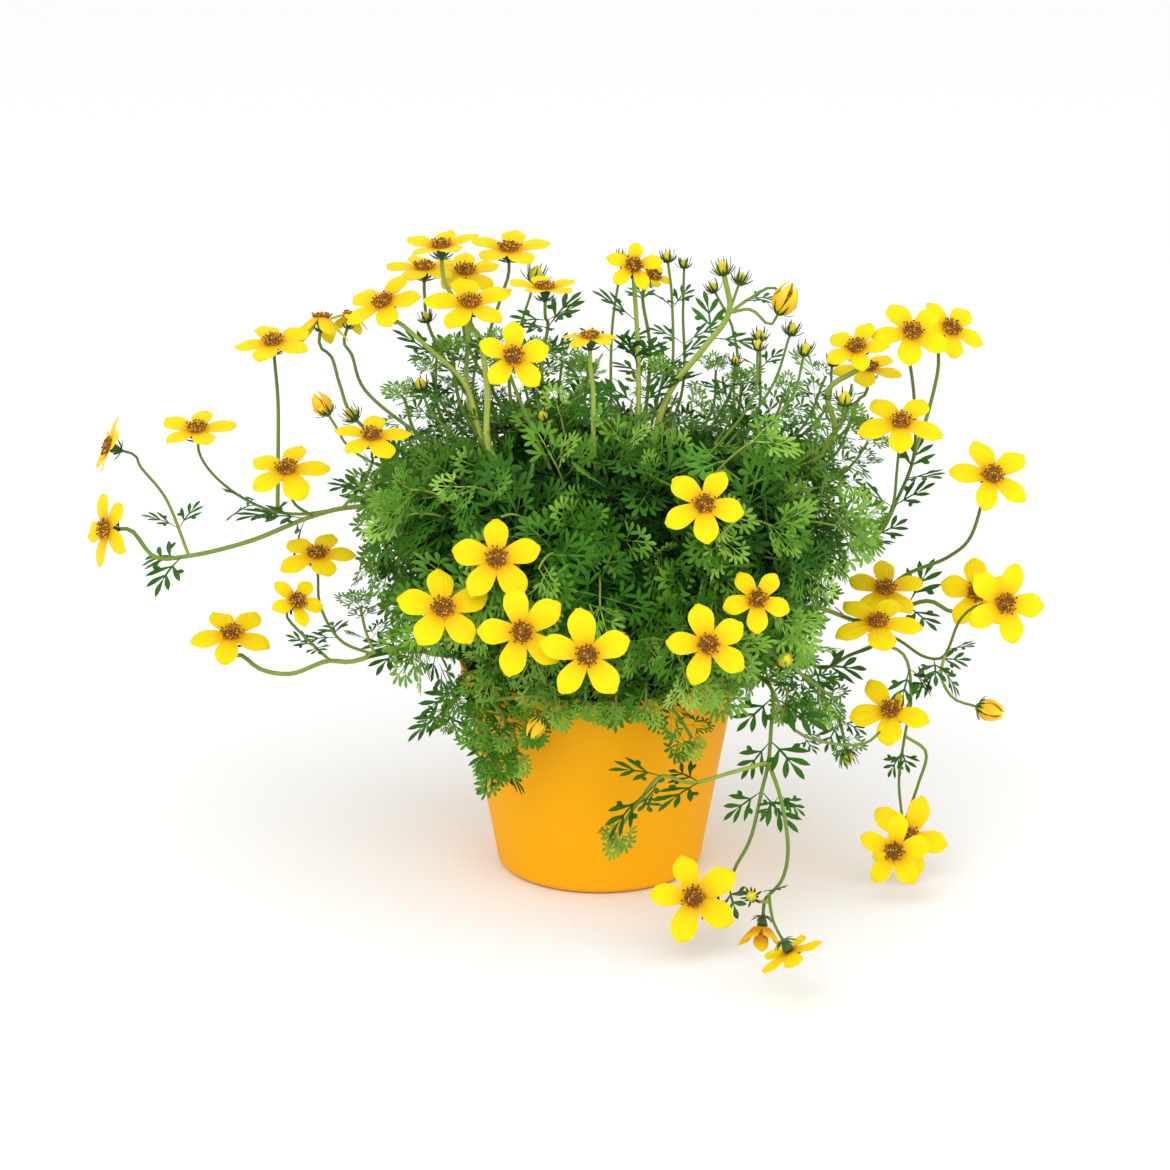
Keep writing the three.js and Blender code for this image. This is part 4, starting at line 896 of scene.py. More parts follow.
@dataclass(frozen=True)
class Finish:
    """A finish: colours along a piece's tone, mottled, with a fine bump.

    tones are colours from tone 0 to tone 1, mottle is how far the mottling shifts the
    tone, scale its fineness in 1 / m, and bump the depth of the fine grain in metres.
    """

    name: str
    tones: tuple[tuple[float, Triple], ...]
    roughness: float = 0.5
    specular: float = 0.4
    mottle: float = 0.2
    scale: float = 120.0
    bump: float = 0.0
    glow: float = 0.0
    glow_colour: Triple = (1.0, 1.0, 1.0)

    def material(self) -> bpy.types.Material:
        """The finish as a material, made once.

        Returns:
            The material.
        """
        known = bpy.data.materials.get(self.name)
        if known is not None:
            return known
        material = bpy.data.materials.new(self.name)
        material.use_nodes = True
        nodes = Nodes(material.node_tree)
        output = nodes.add("OutputMaterial")
        shader = nodes.add("BsdfPrincipled", Roughness=self.roughness)
        shader.inputs["Specular IOR Level"].default_value = self.specular
        if self.glow > 0:
            shader.inputs["Subsurface Weight"].default_value = self.glow
            shader.inputs["Subsurface Radius"].default_value = self.glow_colour
            shader.inputs["Subsurface Scale"].default_value = 0.002
        place = nodes.add("TexCoord")
        group = nodes.add("Group", node_tree=mottle_group())
        group.inputs["Scale"].default_value = self.scale
        group.inputs["Contrast"].default_value = 1.0
        nodes.link(place.outputs["Object"], group.inputs["Place"])
        tone = self.tone(nodes, group.outputs["Mask"])
        nodes.link(nodes.ramp(tone, list(self.tones)), shader.inputs["Base Color"])
        if self.bump > 0:
            bump = nodes.add("Bump", Distance=self.bump, Strength=1.0)
            nodes.link(self.height(nodes, group.outputs["Height"]), bump.inputs["Height"])
            nodes.link(bump.outputs["Normal"], shader.inputs["Normal"])
        nodes.link(shader.outputs["BSDF"], output.inputs["Surface"])
        return material

    def marks(self, nodes: Nodes) -> tuple[bpy.types.NodeSocket, bpy.types.NodeSocket]:
        """The piece's own marks.

        Args:
            nodes: the material's nodes.

        Returns:
            Its tone, and the place across it from edge to edge.
        """
        attribute = nodes.add("Attribute", attribute_name="mark")
        split = nodes.add("SeparateXYZ")
        nodes.link(attribute.outputs["Vector"], split.inputs["Vector"])
        return split.outputs["X"], split.outputs["Y"]

    def tone(self, nodes: Nodes, mask: bpy.types.NodeSocket) -> bpy.types.NodeSocket:
        """The tone with the mottling added: tone + mottle (mask - 0.5).

        Args:
            nodes: the material's nodes.
            mask: the mottling's mask.

        Returns:
            The sum, from 0 to 1.
        """
        shift = nodes.add("Math", operation="MULTIPLY_ADD")
        shift.inputs[1].default_value = self.mottle
        shift.inputs[2].default_value = -self.mottle / 2
        total = nodes.add("Math", operation="ADD", use_clamp=True)
        nodes.link(mask, shift.inputs[0])
        nodes.link(shift.outputs[0], total.inputs[0])
        nodes.link(self.marks(nodes)[0], total.inputs[1])
        return total.outputs[0]

    def height(self, nodes: Nodes, height: bpy.types.NodeSocket) -> bpy.types.NodeSocket:
        """The grain's height."""
        return height


@dataclass(frozen=True)
class PetalFinish(Finish):
    """Petals: the tone runs from the disc to the tip, with fine lengthwise veins."""

    veins: float = 22.0

    def height(self, nodes: Nodes, height: bpy.types.NodeSocket) -> bpy.types.NodeSocket:
        """Veins: grain + 0.4 sin(veins times the place across).

        Args:
            nodes: the material's nodes.
            height: the grain's height.

        Returns:
            The height with the veins.
        """
        across = self.marks(nodes)[1]
        scaled = nodes.add("Math", operation="MULTIPLY")
        scaled.inputs[1].default_value = self.veins
        wave = nodes.add("Math", operation="SINE")
        total = nodes.add("Math", operation="MULTIPLY_ADD")
        total.inputs[1].default_value = 0.4
        nodes.link(across, scaled.inputs[0])
        nodes.link(scaled.outputs[0], wave.inputs[0])
        nodes.link(wave.outputs[0], total.inputs[0])
        nodes.link(height, total.inputs[2])
        return total.outputs[0]


PETAL = PetalFinish(
    "petal", (
        (0.0, (0.66, 0.23, 0.003)), (0.16, (0.78, 0.40, 0.002)), (0.42, (0.86, 0.58, 0.002)),
        (0.75, (0.88, 0.66, 0.002)), (1.0, (0.87, 0.62, 0.002)),
    ),
    roughness=0.6, specular=0.12, mottle=0.12, scale=90, bump=0.00012,
    glow=0.2, glow_colour=(1.0, 0.7, 0.05),
)
FLORET = Finish(
    "floret", (
        (0.0, (0.22, 0.085, 0.006)), (0.35, (0.55, 0.24, 0.008)), (0.6, (0.75, 0.36, 0.01)),
        (0.72, (0.13, 0.05, 0.012)), (0.9, (0.06, 0.022, 0.008)), (1.0, (0.62, 0.30, 0.02)),
    ),
    roughness=0.7, mottle=0.3, scale=700,
)
# The ramp's near-black low end is the painted shade that the dome's deep leaves take.
LEAF = Finish(
    "leaf", (
        (0.0, (0.001, 0.006, 0.001)), (0.25, (0.007, 0.044, 0.001)), (0.5, (0.048, 0.180, 0.009)),
        (0.75, (0.170, 0.365, 0.036)), (1.0, (0.40, 0.60, 0.11)),
    ),
    roughness=0.55, specular=0.14, mottle=0.25, scale=110, bump=0.0001,
)
STEM = Finish(
    "stem", (
        (0.0, (0.05, 0.11, 0.012)), (0.4, (0.16, 0.26, 0.03)), (0.7, (0.36, 0.44, 0.07)),
        (1.0, (0.50, 0.56, 0.14)),
    ),
    roughness=0.45, specular=0.25, mottle=0.2, scale=160, bump=0.0001,
)
BRACT = Finish(
    "bract", ((0.0, (0.012, 0.04, 0.008)), (0.5, (0.035, 0.09, 0.012)), (1.0, (0.10, 0.20, 0.03))),
    roughness=0.5, mottle=0.25, scale=220,
)
BUD_PETAL = Finish(
    "bud_petal", (
        (0.0, (0.16, 0.25, 0.012)), (0.25, (0.50, 0.46, 0.008)), (0.45, (0.86, 0.66, 0.004)),
        (0.6, (0.88, 0.42, 0.004)), (1.0, (0.97, 0.74, 0.004)),
    ),
    roughness=0.5, mottle=0.3, scale=260, bump=0.0001,
)
POT_PLASTIC = Finish(
    "pot_plastic", ((0.0, (0.80, 0.33, 0.001)), (0.5, (0.90, 0.405, 0.0015)), (1.0, (0.94, 0.45, 0.002))),
    roughness=0.6, specular=0.12, mottle=0.12, scale=14, bump=0.00002,
)
COMPOST = Finish(
    "compost", ((0.0, (0.012, 0.007, 0.004)), (0.5, (0.042, 0.024, 0.013)), (1.0, (0.11, 0.068, 0.04))),
    roughness=0.95, mottle=1.0, scale=160, bump=0.0009,
)
FLOOR = Finish(
    "floor", ((0.0, (0.93, 0.93, 0.93)), (1.0, (0.96, 0.96, 0.96))),
    roughness=0.9, mottle=0.05, scale=2,
)


# Pieces.


@dataclass
class Piece:
    """One piece in the making: closed surfaces gathered as arrays, then made one mesh."""

    points: list[np.ndarray] = field(default_factory=list)
    faces: list[np.ndarray] = field(default_factory=list)
    slots: list[np.ndarray] = field(default_factory=list)
    marks: list[np.ndarray] = field(default_factory=list)
    count: int = 0

    def add(
        self, surface: tuple[np.ndarray, np.ndarray], slot: int,
        tone: float | np.ndarray = 0.5, across: float | np.ndarray = 0.0,
    ) -> None:
        """Adds copies of a closed surface.

        Args:
            surface: points of shape (..., points, 3) and the triangles of one copy.
            slot: the finish's place among the piece's finishes.
            tone: the mark that the finish's colours follow.
            across: the mark from edge to edge.
        """
        points, faces = surface
        each = points.shape[-2]
        points = points.reshape(-1, each, 3)
        copies = len(points)
        marks = np.stack(
            [np.broadcast_to(mark, (copies, each)) for mark in (tone, across, 0.0)], axis=-1
        )
        self.points.append(points.reshape(-1, 3))
        self.faces.append(copied(faces, each, copies, self.count))
        self.slots.append(np.full(copies * len(faces), slot))
        self.marks.append(marks.reshape(-1, 3))
        self.count += copies * each

    def make(
        self, name: str, finishes: tuple[Finish, ...], slot: str, nodes: tuple[str, ...] = (),
        sharp: float = 50.0,
    ) -> bpy.types.Object:
        """Makes the mesh, dresses it, and ties it to the frame.

        Args:
            name: the piece's name.
            finishes: its finishes, in the order of the slots.
            slot: the record's material slot, which is not used.
            nodes: the solids that it stands for.
            sharp: the angle past which an edge shows as sharp, in degrees.

        Returns:
            The piece.
        """
        points = np.concatenate(self.points) * MM
        faces = np.concatenate(self.faces)
        mesh = bpy.data.meshes.new(name)
        mesh.vertices.add(len(points))
        mesh.vertices.foreach_set("co", points.ravel())
        mesh.loops.add(faces.size)
        mesh.loops.foreach_set("vertex_index", faces.ravel())
        mesh.polygons.add(len(faces))
        mesh.polygons.foreach_set("loop_start", np.arange(0, faces.size, 3))
        mesh.polygons.foreach_set("material_index", np.concatenate(self.slots))
        mesh.polygons.foreach_set("use_smooth", np.ones(len(faces), bool))
        mark = mesh.attributes.new("mark", "FLOAT_VECTOR", "POINT")
        mark.data.foreach_set("vector", np.concatenate(self.marks).ravel())
        mesh.update(calc_edges=True)
        mesh.set_sharp_from_angle(angle=math.radians(sharp))
        for finish in finishes:
            mesh.materials.append(finish.material())
        piece = bpy.data.objects.new(name, mesh)
        bpy.context.scene.collection.objects.link(piece)
        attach(piece, ROOT)
        if nodes:
            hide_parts(*nodes)
        log.info("%s: %d triangles", name, len(faces))
        return piece


@dataclass(frozen=True)
class Pot:
    """The tapered round pot, with a slim plain rim, a rounded foot and drain holes."""

    rim_radius: float = 65.0
    base_radius: float = 47.0
    height: float = 100.0
    corner: float = 4.0
    wall: float = 2.0
    floor: float = 2.4
    sides: int = 144
    rim_round: float = 0.7
    holes: int = 6
    hole_ring: float = 30.0
    hole_radius: float = 2.5

    @property
    def lean(self) -> float:
        """How far the wall runs out for each millimetre up."""
        return (self.rim_radius - self.base_radius) / self.height

    def profile(self) -> np.ndarray:
        """The wall's profile, with quarter and half circles at the foot and the rim.

        Returns:
            Radius and height pairs, from the base's edge round the wall to the bed's edge.
        """
        turn = np.linspace(0, np.pi / 2, 7)
        low = self.base_radius + self.lean * self.corner
        foot = np.stack([
            low - self.corner + self.corner * np.sin(turn),
            self.corner - self.corner * np.cos(turn),
        ], axis=-1)
        wall_heights = np.linspace(self.corner * 1.6, self.height - self.rim_round, 12)
        outer = np.stack([self.base_radius + self.lean * wall_heights, wall_heights], axis=-1)
        rim_turn = np.linspace(0, np.pi, 7)[1:]
        half = self.wall / 2
        rim = np.stack([
            self.rim_radius - half + half * np.cos(rim_turn),
            self.height - self.rim_round + self.rim_round * np.sin(rim_turn),
        ], axis=-1)
        inner_heights = np.linspace(self.height - 8, self.floor + 3, 6)
        inner = np.stack([
            self.base_radius + self.lean * inner_heights - self.wall, inner_heights,
        ], axis=-1)
        bed = np.array([[self.base_radius - self.corner - self.wall, self.floor]])
        return np.concatenate([foot, outer, rim, inner, bed])

    def holed_plate(self, radius: float, height: float) -> tuple[np.ndarray, np.ndarray]:
        """A level plate with the ring of drain holes, in wedges, one to a hole.

        A wedge's edge runs from the middle out, round a part of the circle and back. The
        hole's points lie on the lines from its middle to the edge's points, and two
        triangles span each step between edge and hole.

        Args:
            radius: the plate's radius.
            height: its height.

        Returns:
            Points and triangles, facing up.
        """
        arc_steps = self.sides // self.holes
        turn = 2 * np.pi / self.holes
        arc = np.linspace(-turn / 2, turn / 2, arc_steps + 1)
        side = np.linspace(0, radius, 7)[:-1]
        across = np.concatenate([side, np.full(len(arc), radius), side[:0:-1]])
        angle = np.concatenate([np.full(6, arc[0]), arc, np.full(5, arc[-1])])
        edge = np.stack([across * np.cos(angle), across * np.sin(angle)], axis=-1)
        middle = np.array([self.hole_ring, 0.0])
        hole = middle + self.hole_radius * unit(edge - middle)
        number = np.arange(len(edge))
        after = np.roll(number, -1)
        rows = len(edge)
        faces = band(number, after, number + rows, after + rows)
        wedge = np.concatenate([edge, hole])
        spin = turn * np.arange(self.holes)[:, None]
        x = wedge[:, 0] * np.cos(spin) - wedge[:, 1] * np.sin(spin)
        y = wedge[:, 0] * np.sin(spin) + wedge[:, 1] * np.cos(spin)
        points = np.stack([x, y, np.full(x.shape, height)], axis=-1).reshape(-1, 3)
        return points, copied(faces, 2 * rows, self.holes)

    def build(self) -> None:
        """Makes the pot: its wall turned, its base in two plates, and the holes' walls.

        Points that fall together are made one.
        """
        profile = self.profile()
        ring = around(2 * np.pi * np.arange(self.sides) / self.sides)
        wall = profile[:, 0][:, None, None] * ring + profile[:, 1][:, None, None] * UP
        under, faces = self.holed_plate(profile[0, 0], 0.0)
        bed = self.holed_plate(profile[-1, 0], self.floor)[0]
        rows = len(under) // (2 * self.holes)
        number = np.arange(rows)
        after = np.roll(number, -1)
        low = rows + 2 * rows * np.arange(self.holes)[:, None]
        high = low + len(under)
        hole_walls = band(low + number, high + number, low + after, high + after)
        plates = 2 * len(under)
        points = np.concatenate([under, bed, wall.reshape(-1, 3)])
        walls = grid_faces(len(profile), self.sides, True) + plates
        faces = np.concatenate([faces[:, ::-1], faces + len(under), hole_walls, walls])
        merged, which = np.unique(points.round(4), axis=0, return_inverse=True)
        piece = Piece()
        piece.add((merged, which.ravel()[faces]), 0)
        piece.make("flower_pot", (POT_PLASTIC,), "pot", ("pot",), sharp=40)


@dataclass(frozen=True)
class Compost:
    """The compost in the pot: crumbly on top, with the pot's taper below."""

    top: float = 90.0
    gap: float = 0.95
    rings: int = 40
    sides: int = 96
    crumb: float = 1.2

    def build(self, pot: Pot) -> None:
        """Makes the compost.

        The top's height is top + crumb times the sum of three crossed sines of x and y,
        faded towards the rim.

        Args:
            pot: the pot that holds it.
        """
        bottom = pot.floor + self.gap
        edge = pot.base_radius + pot.lean * (self.top - 1.5) - pot.wall - self.gap
        foot = pot.base_radius - pot.corner - pot.wall - 1
        radii = np.concatenate([[0], [foot], np.linspace(edge, 2, self.rings), [0]])
        heights = np.concatenate([[bottom], [bottom], np.full(self.rings + 1, self.top)])
        points, faces = rings(radii, heights, self.sides)
        x, y = points[:, 0], points[:, 1]
        crumbs = np.sin(x * 1.1 + 2) * np.cos(y * 0.9) + 0.6 * np.sin(x * 2.3 - y * 1.9)
        crumbs += 0.5 * np.sin(y * 3.1 + x * 0.7)
        fade = np.clip((edge - np.hypot(x, y)) / 6, 0, 1)
        points[:, 2] += np.where(points[:, 2] > self.top - 1, self.crumb * crumbs * fade * 0.6, 0)
        piece = Piece()
        piece.add((points, faces), 0)
        piece.make("compost", (COMPOST,), "compost", ("soil",))


@dataclass(frozen=True)
class Flower:
    """One bloom: five notched petals round a domed disc of florets."""

    number: int
    petals: int = 5
    disc_radius: float = 4.6
    disc_height: float = 2.6
    curl: float = 1.6
    thickness: float = 0.3
    along: int = 13
    across: int = 9
    florets: int = 44
    floret_sides: int = 5
    notch: float = 0.022
    pleat: float = 0.22
    uneven: float = 0.16
    folded_width: float = 0.5
    folded_length: float = 0.62
    folded_lift: float = 1.2

    @property
    def place(self) -> BloomPlace:
        """Where the bloom sits."""
        return BLOOMS[self.number]

    @property
    def size(self) -> float:
        """The disc's size beside that of a bloom 38 mm across."""
        return math.sqrt(self.place.across / 38.0)

    def petal_sheets(self) -> tuple[np.ndarray, np.ndarray, np.ndarray]:
        """The petals' upper sides, before the bloom is turned to its place.

        With s from the disc to the tip and t from edge to edge, a petal's half width
        follows a fixed outline in s, and its tip is drawn in at the edges and at a notch.
        Past the disc a petal is bent up by its lift and down by a cubic curl, and pleated
        by a cosine of t.

        Returns:
            Sheets of shape (petals, along, across, 3), s and t.
        """
        place = self.place
        radius = place.across / 2
        disc = self.disc_radius * self.size
        item = self.number * 10 + np.arange(self.petals)[:, None, None]
        s = np.linspace(0, 1, self.along)[None, :, None]
        t = np.linspace(-1, 1, self.across)[None, None, :]
        outline_s = np.array([0, 0.15, 0.32, 0.49, 0.60, 0.72, 0.83, 0.92, 1.0])
        outline_w = np.array([0.12, 0.18, 0.235, 0.275, 0.287, 0.272, 0.222, 0.155, 0.075])
        broad = 0.9 + 0.2 * draw(item, 12)
        half = np.interp(s, outline_s, outline_w) * radius * broad
        folded = item == self.number * 10 + (-1 if place.folded is None else place.folded)
        half = half * np.where(folded, self.folded_width, 1)
        reach = radius * (1 + (draw(item, 2) - 0.5) * 0.1) * np.where(folded, self.folded_length, 1)
        notch = np.exp(-((t - 0.5 * (draw(item, 14) - 0.5)) / 0.3) ** 2)
        tip = 1 - 0.05 * np.abs(t) ** 2.4 - self.notch * notch
        begin = disc * 0.45
        x = begin + (reach * (1 - (1 - tip) * s**5) - begin) * s
        y = t * half
        out = np.hypot(x, y)
        past = np.maximum(0, out - disc)
        own = math.radians(place.lift) + (draw(item, 3) - 0.5) * self.uneven
        own = own + np.where(folded, self.folded_lift, 0)
        drawn = (out - past + past * np.cos(own)) / out
        far = past / (radius - disc)
        rise = past * np.sin(own) - self.curl * far**3
        grown = radius / 19
        swell = np.sin(np.pi * np.clip(s, 0, 1)) * grown
        pleats = self.pleat * np.cos(3 * np.pi * t) * (1 - t**2) * swell
        camber = (0.9 * draw(item, 15) - 0.75) * t**2 * far * grown
        twist = (draw(item, 16) - 0.5) * 1.6 * t * far * grown
        ripple = 0.25 * np.sin(7 * s + 6.3 * draw(item, 17)) * t**2 * np.sign(t)
        z = 0.55 + rise + pleats + camber + twist + ripple * far
        turn = 2 * np.pi / self.petals
        angle = (item - self.number * 10) * turn + (draw(item, 1) - 0.5) * self.uneven
        sheets = np.stack([
            drawn * (x * np.cos(angle) - y * np.sin(angle)),
            drawn * (x * np.sin(angle) + y * np.cos(angle)),
            z + 0 * x,
        ], axis=-1)
        return sheets, s, t

    def disc(self) -> tuple[np.ndarray, np.ndarray]:
        """The domed disc under the florets: half a flattened ball.

        Returns:
            Points and triangles.
        """
        angle = np.linspace(0, np.pi / 2, 6)
        radii = self.disc_radius * self.size * 0.9 * np.cos(angle)
        heights = 0.4 + self.disc_height * self.size * 0.62 * np.sin(angle)
        return rings(np.append([0], radii), np.append([0.1], heights), 14)

    def floret_bodies(self) -> tuple[np.ndarray, np.ndarray, np.ndarray]:
        """The florets: spindles on a sunflower spiral, leaning out towards the edge.

        Floret i stands at radius disc sqrt((i + 0.5) / florets) and angle i times the
        golden angle.

        Returns:
            Points of shape (florets, points, 3), triangles, and the tone of each point.
        """
        disc = self.disc_radius * self.size
        i = np.arange(self.florets)
        share = np.sqrt((i + 0.5) / self.florets)
        angle = i * np.pi * (3 - math.sqrt(5)) + self.number
        spin = around(angle)
        base = spin * (share * disc * 0.9)[:, None]
        base[:, 2] = 0.2 + self.disc_height * self.size * 0.62 * np.sqrt(1 - 0.8 * share**2)
        wander = np.stack([draw(i, 21) - 0.5, draw(i, 22) - 0.5, 0 * share], axis=-1)
        lean = UP + spin * (0.75 * share**1.5)[:, None] + 0.5 * wander
        length = (1.3 + 1.2 * share + 0.9 * (draw(i + self.number, 23) - 0.5)) * self.size
        radii = np.array([0, 0.30, 0.46, 0.40, 0.52, 0.30, 0])
        heights = np.array([0, 0.05, 0.45, 0.62, 0.78, 0.95, 1.0])
        local, faces = rings(radii, heights, self.floret_sides)
        local = np.broadcast_to(local, (self.florets, *local.shape)).copy()
        local[..., 2] *= length[:, None]
        frames = frames_at(np.cross(lean, spin + 0.1 * UP), lean)
        points = placed(local, frames, base)
        level = np.append(np.repeat(heights[1:-1], self.floret_sides), [0.0, 1.0])
        kind = draw(i, 24)[:, None]
        tone = np.where(kind < 0.3, level * 0.62, np.where(kind < 0.8, level * 0.9, level))
        return points, faces, tone

    def build(self) -> None:
        """Makes the bloom as one piece."""
        place = self.place
        turn, centre = place.frame, place.centre
        sheets, s, t = self.petal_sheets()
        points, faces = thick_sheets(sheets, self.thickness)
        shape = sheets.shape[:-1]
        tone = np.broadcast_to(0.1 + 0.9 * s - 0.06 * draw(self.number, 25) - place.tint, shape)
        across = np.broadcast_to(t, shape)
        piece = Piece()
        tone, across = [np.tile(mark.reshape(self.petals, -1), 2) for mark in (tone, across)]
        piece.add((placed(points, turn, centre), faces), 0, tone=tone, across=across)
        dome, dome_faces = self.disc()
        piece.add((placed(dome, turn, centre), dome_faces), 1, tone=0.1)
        florets, floret_faces, tones = self.floret_bodies()
        piece.add((placed(florets, turn, centre), floret_faces), 1, tone=tones)
        name = f"{self.number:02d}"
        piece.make("flower_" + name, (PETAL, FLORET), "petals", ("bloom_" + name,))


class LeafKind(Enum):
    """The two leaf forms: finely cut, and in a few slim leaflets."""

    CUT = "cut"
    SLIM = "slim"


@dataclass(frozen=True)
class Pinna:
    """A side part of a cut leaf: where it leaves the rib, its angle in degrees, its length."""

    near: float
    angle: float
    length: float


@dataclass(frozen=True)
class CutLeaf:
    """The finely cut leaf of the bush, with its rib one unit long."""

    pinnae: tuple[Pinna, ...] = (
        Pinna(0.26, 54, 0.46), Pinna(0.54, 46, 0.40), Pinna(0.58, 0, 0.42),
    )
    lobes: tuple[tuple[float, float, float], ...] = ((0.42, 0, 0.58), (0.38, 44, 0.56))
    lobe_width: float = 0.082
    rib_width: float = 0.032
    ridge: float = 0.014

    def template(self) -> tuple[np.ndarray, np.ndarray, np.ndarray]:
        """The leaf as slim lobes.

        Each pinna leaves the rib at its angle on both sides, and carries a lobe at its
        end and a pair of side lobes.

        Returns:
            Points, triangles, and a tone shift for each point.
        """
        base, tip = [[0, 0, 0], [0.38, 0, 0]], [[0.42, 0, 0], [0.8, 0, 0]]
        width, shift = [self.rib_width] * 2, [0.12] * 2
        for pinna in self.pinnae:
            for side in (-1, 1) if pinna.angle else (1,):
                turn = math.radians(pinna.angle) * side
                way = np.array([math.cos(turn), math.sin(turn), 0.0])
                root = np.array([pinna.near, 0.0, 0.0])
                base.append(root)
                tip.append(root + way * pinna.length * 0.8)
                width.append(self.rib_width * 0.8)
                shift.append(0.08)
                for near, angle, length in self.lobes:
                    for lobe_side in (-1, 1) if angle else (1,):
                        spread = turn + math.radians(angle) * lobe_side
                        ahead = np.array([math.cos(spread), math.sin(spread), 0.0])
                        start = root + way * pinna.length * near
                        base.append(start)
                        tip.append(start + ahead * pinna.length * length * 1.15)
                        width.append(self.lobe_width)
                        shift.append(0.0)
        points = blades(np.array(base), np.array(tip), np.array(width), self.ridge)
        return points, copied(BLADE_FACES, 6, len(base)), np.repeat(shift, 6)


@dataclass(frozen=True)
class SlimLeaf:
    """A leaf of slim pointed leaflets, with its rib one unit long."""

    leaflets: tuple[tuple[Pair, Pair], ...] = (
        ((0.0, 0.0), (0.72, 0.0)),
        ((0.28, 0.0), (0.66, 0.38)), ((0.28, 0.0), (0.66, -0.38)),
        ((0.42, 0.14), (0.42, 0.34)), ((0.42, -0.14), (0.42, -0.34)),
        ((0.52, 0.0), (0.88, 0.25)), ((0.52, 0.0), (0.88, -0.25)),
        ((0.66, 0.0), (1.04, 0.03)),
    )
    half_width: float = 0.052
    rib: float = 0.02
    along: int = 6

    def template(self) -> tuple[np.ndarray, np.ndarray, np.ndarray]:
        """The leaf as thin closed leaflets.

        A leaflet's half width is the sine of pi s to the power 1.4, its middle runs from
        its start to its tip, and its edges are raised, so that it folds along its rib.

        Returns:
            Points, triangles, and a tone shift for each point.
        """
        s = np.linspace(0, 1, self.along)[:, None]
        t = np.array([-1.0, 0.0, 1.0])[None, :]
        sheets = []
        for number, (start, end) in enumerate(self.leaflets):
            start, end = np.array([*start, 0.0]), np.array([*end, 0.0])
            way = end - start
            side = unit(np.cross(UP, way))
            full = self.rib if number == 0 else self.half_width
            half = full * (0.16 + 0.84 * np.sin(np.pi * s**1.4)) * (1 - s**10)
            middle = start + way * s[..., None]
            sheets.append(middle + side * (t * half)[..., None] + UP * (0.25 * half * t**2)[..., None])
        points, faces = thick_sheets(np.array(sheets), 0.012)
        faces = copied(faces, points.shape[1], len(points))
        shift = np.tile(np.where(np.abs(np.tile(t.ravel(), self.along)) < 0.5, 0.06, 0.0), 2)
        return points.reshape(-1, 3), faces, np.tile(shift, len(points))


TEMPLATES = {LeafKind.CUT: CutLeaf().template(), LeafKind.SLIM: SlimLeaf().template()}


@dataclass
class Leaves:
    """Leaves to be placed: their bases, frames, lengths, droops and tones."""

    kind: LeafKind
    bases: list[np.ndarray] = field(default_factory=list)
    forwards: list[np.ndarray] = field(default_factory=list)
    ups: list[np.ndarray] = field(default_factory=list)
    lengths: list[np.ndarray] = field(default_factory=list)
    tones: list[np.ndarray] = field(default_factory=list)

    def add(
        self, base: np.ndarray, forward: np.ndarray, up: np.ndarray,
        length: float | np.ndarray, tone: float | np.ndarray,
    ) -> None:
        """Adds leaves.

        Args:
            base: where they start, shape (..., 3).
            forward: where they point, shape (..., 3).
            up: where their upper side faces, shape (..., 3).
            length: how long they are.
            tone: how light they are.
        """
        base = np.atleast_2d(base).reshape(-1, 3)
        count = len(base)
        self.bases.append(base)
        self.forwards.append(np.broadcast_to(forward, (*np.shape(forward)[:-1], 3)).reshape(-1, 3))
        self.ups.append(np.broadcast_to(up, np.shape(forward)).reshape(-1, 3))
        self.lengths.append(np.broadcast_to(np.ravel(length), (count,)))
        self.tones.append(np.broadcast_to(np.ravel(tone), (count,)))

    def gathered(self) -> tuple[np.ndarray, ...]:
        """All bases, forwards, ups, lengths and tones as arrays."""
        lists = (self.bases, self.forwards, self.ups, self.lengths, self.tones)
        return tuple(np.concatenate(parts) for parts in lists)

    def surfaces(self) -> tuple[np.ndarray, np.ndarray, np.ndarray]:
        """The leaves as closed surfaces.

        A leaf's point is scaled by its length, drooped by droop times the square of its
        place along the rib, and curved up at the sides.

        Returns:
            Points of shape (leaves, points, 3), triangles, and tones.
        """
        bases, forwards, ups, lengths, tones = self.gathered()
        local, faces, shift = TEMPLATES[self.kind]
        item = np.arange(len(bases))
        droop = 0.16 + 0.3 * (draw(item, 31) - 0.4)
        bend = 0.3 * (draw(item, 32) - 0.5)
        local = np.broadcast_to(local, (len(bases), *local.shape)).copy()
        along = local[..., 0].copy()
        local[..., 2] += 0.06 * np.abs(local[..., 1]) - droop[:, None] * along**2
        local[..., 1] += bend[:, None] * along**2
        local *= lengths[:, None, None]
        points = placed(local, frames_at(forwards, ups), bases)
        light = tones[:, None] + shift[None] + 0.1 * (draw(item, 33) - 0.5)[:, None]
        return points, faces, light


def clear_of_blooms(points: np.ndarray, margin: float = 0.92) -> np.ndarray:
    """Which leaves leave the blooms free.

    A leaf is dropped where one of its points shows within a bloom's petals and nearer to
    the eye than the bloom's middle, or lies within a few millimetres of its face.

    Args:
        points: shape (leaves, points, 3).
        margin: the share of the petals' radius that stays free.

    Returns:
        True for each leaf that stays.
    """
    free = np.ones(len(points), bool)
    for place in BLOOMS.values():
        centre, turn = place.centre, place.frame
        radius = place.across / 2 * margin
        local = (points - centre) @ turn
        out = np.hypot(local[..., 0], local[..., 1])
        touching = (out < radius) & (local[..., 2] > -2.0) & (local[..., 2] < 7.0)
        line = unit(VIEW.eye - points)
        reach = -local[..., 2] / (line @ turn[:, 2])
        crossing = local + (line @ turn) * reach[..., None]
        covering = np.hypot(crossing[..., 0], crossing[..., 1]) < radius
        ahead = reach < -0.5
        free &= ~(touching | (covering & ahead)).any(axis=1)
    return free


# The angle from one leaf of a tuft to the next, and the numbers that the draws start from.
TUFT_TURN = 2.4
SHOOT_SEEDS = 50
BUSH_SEED = 1000


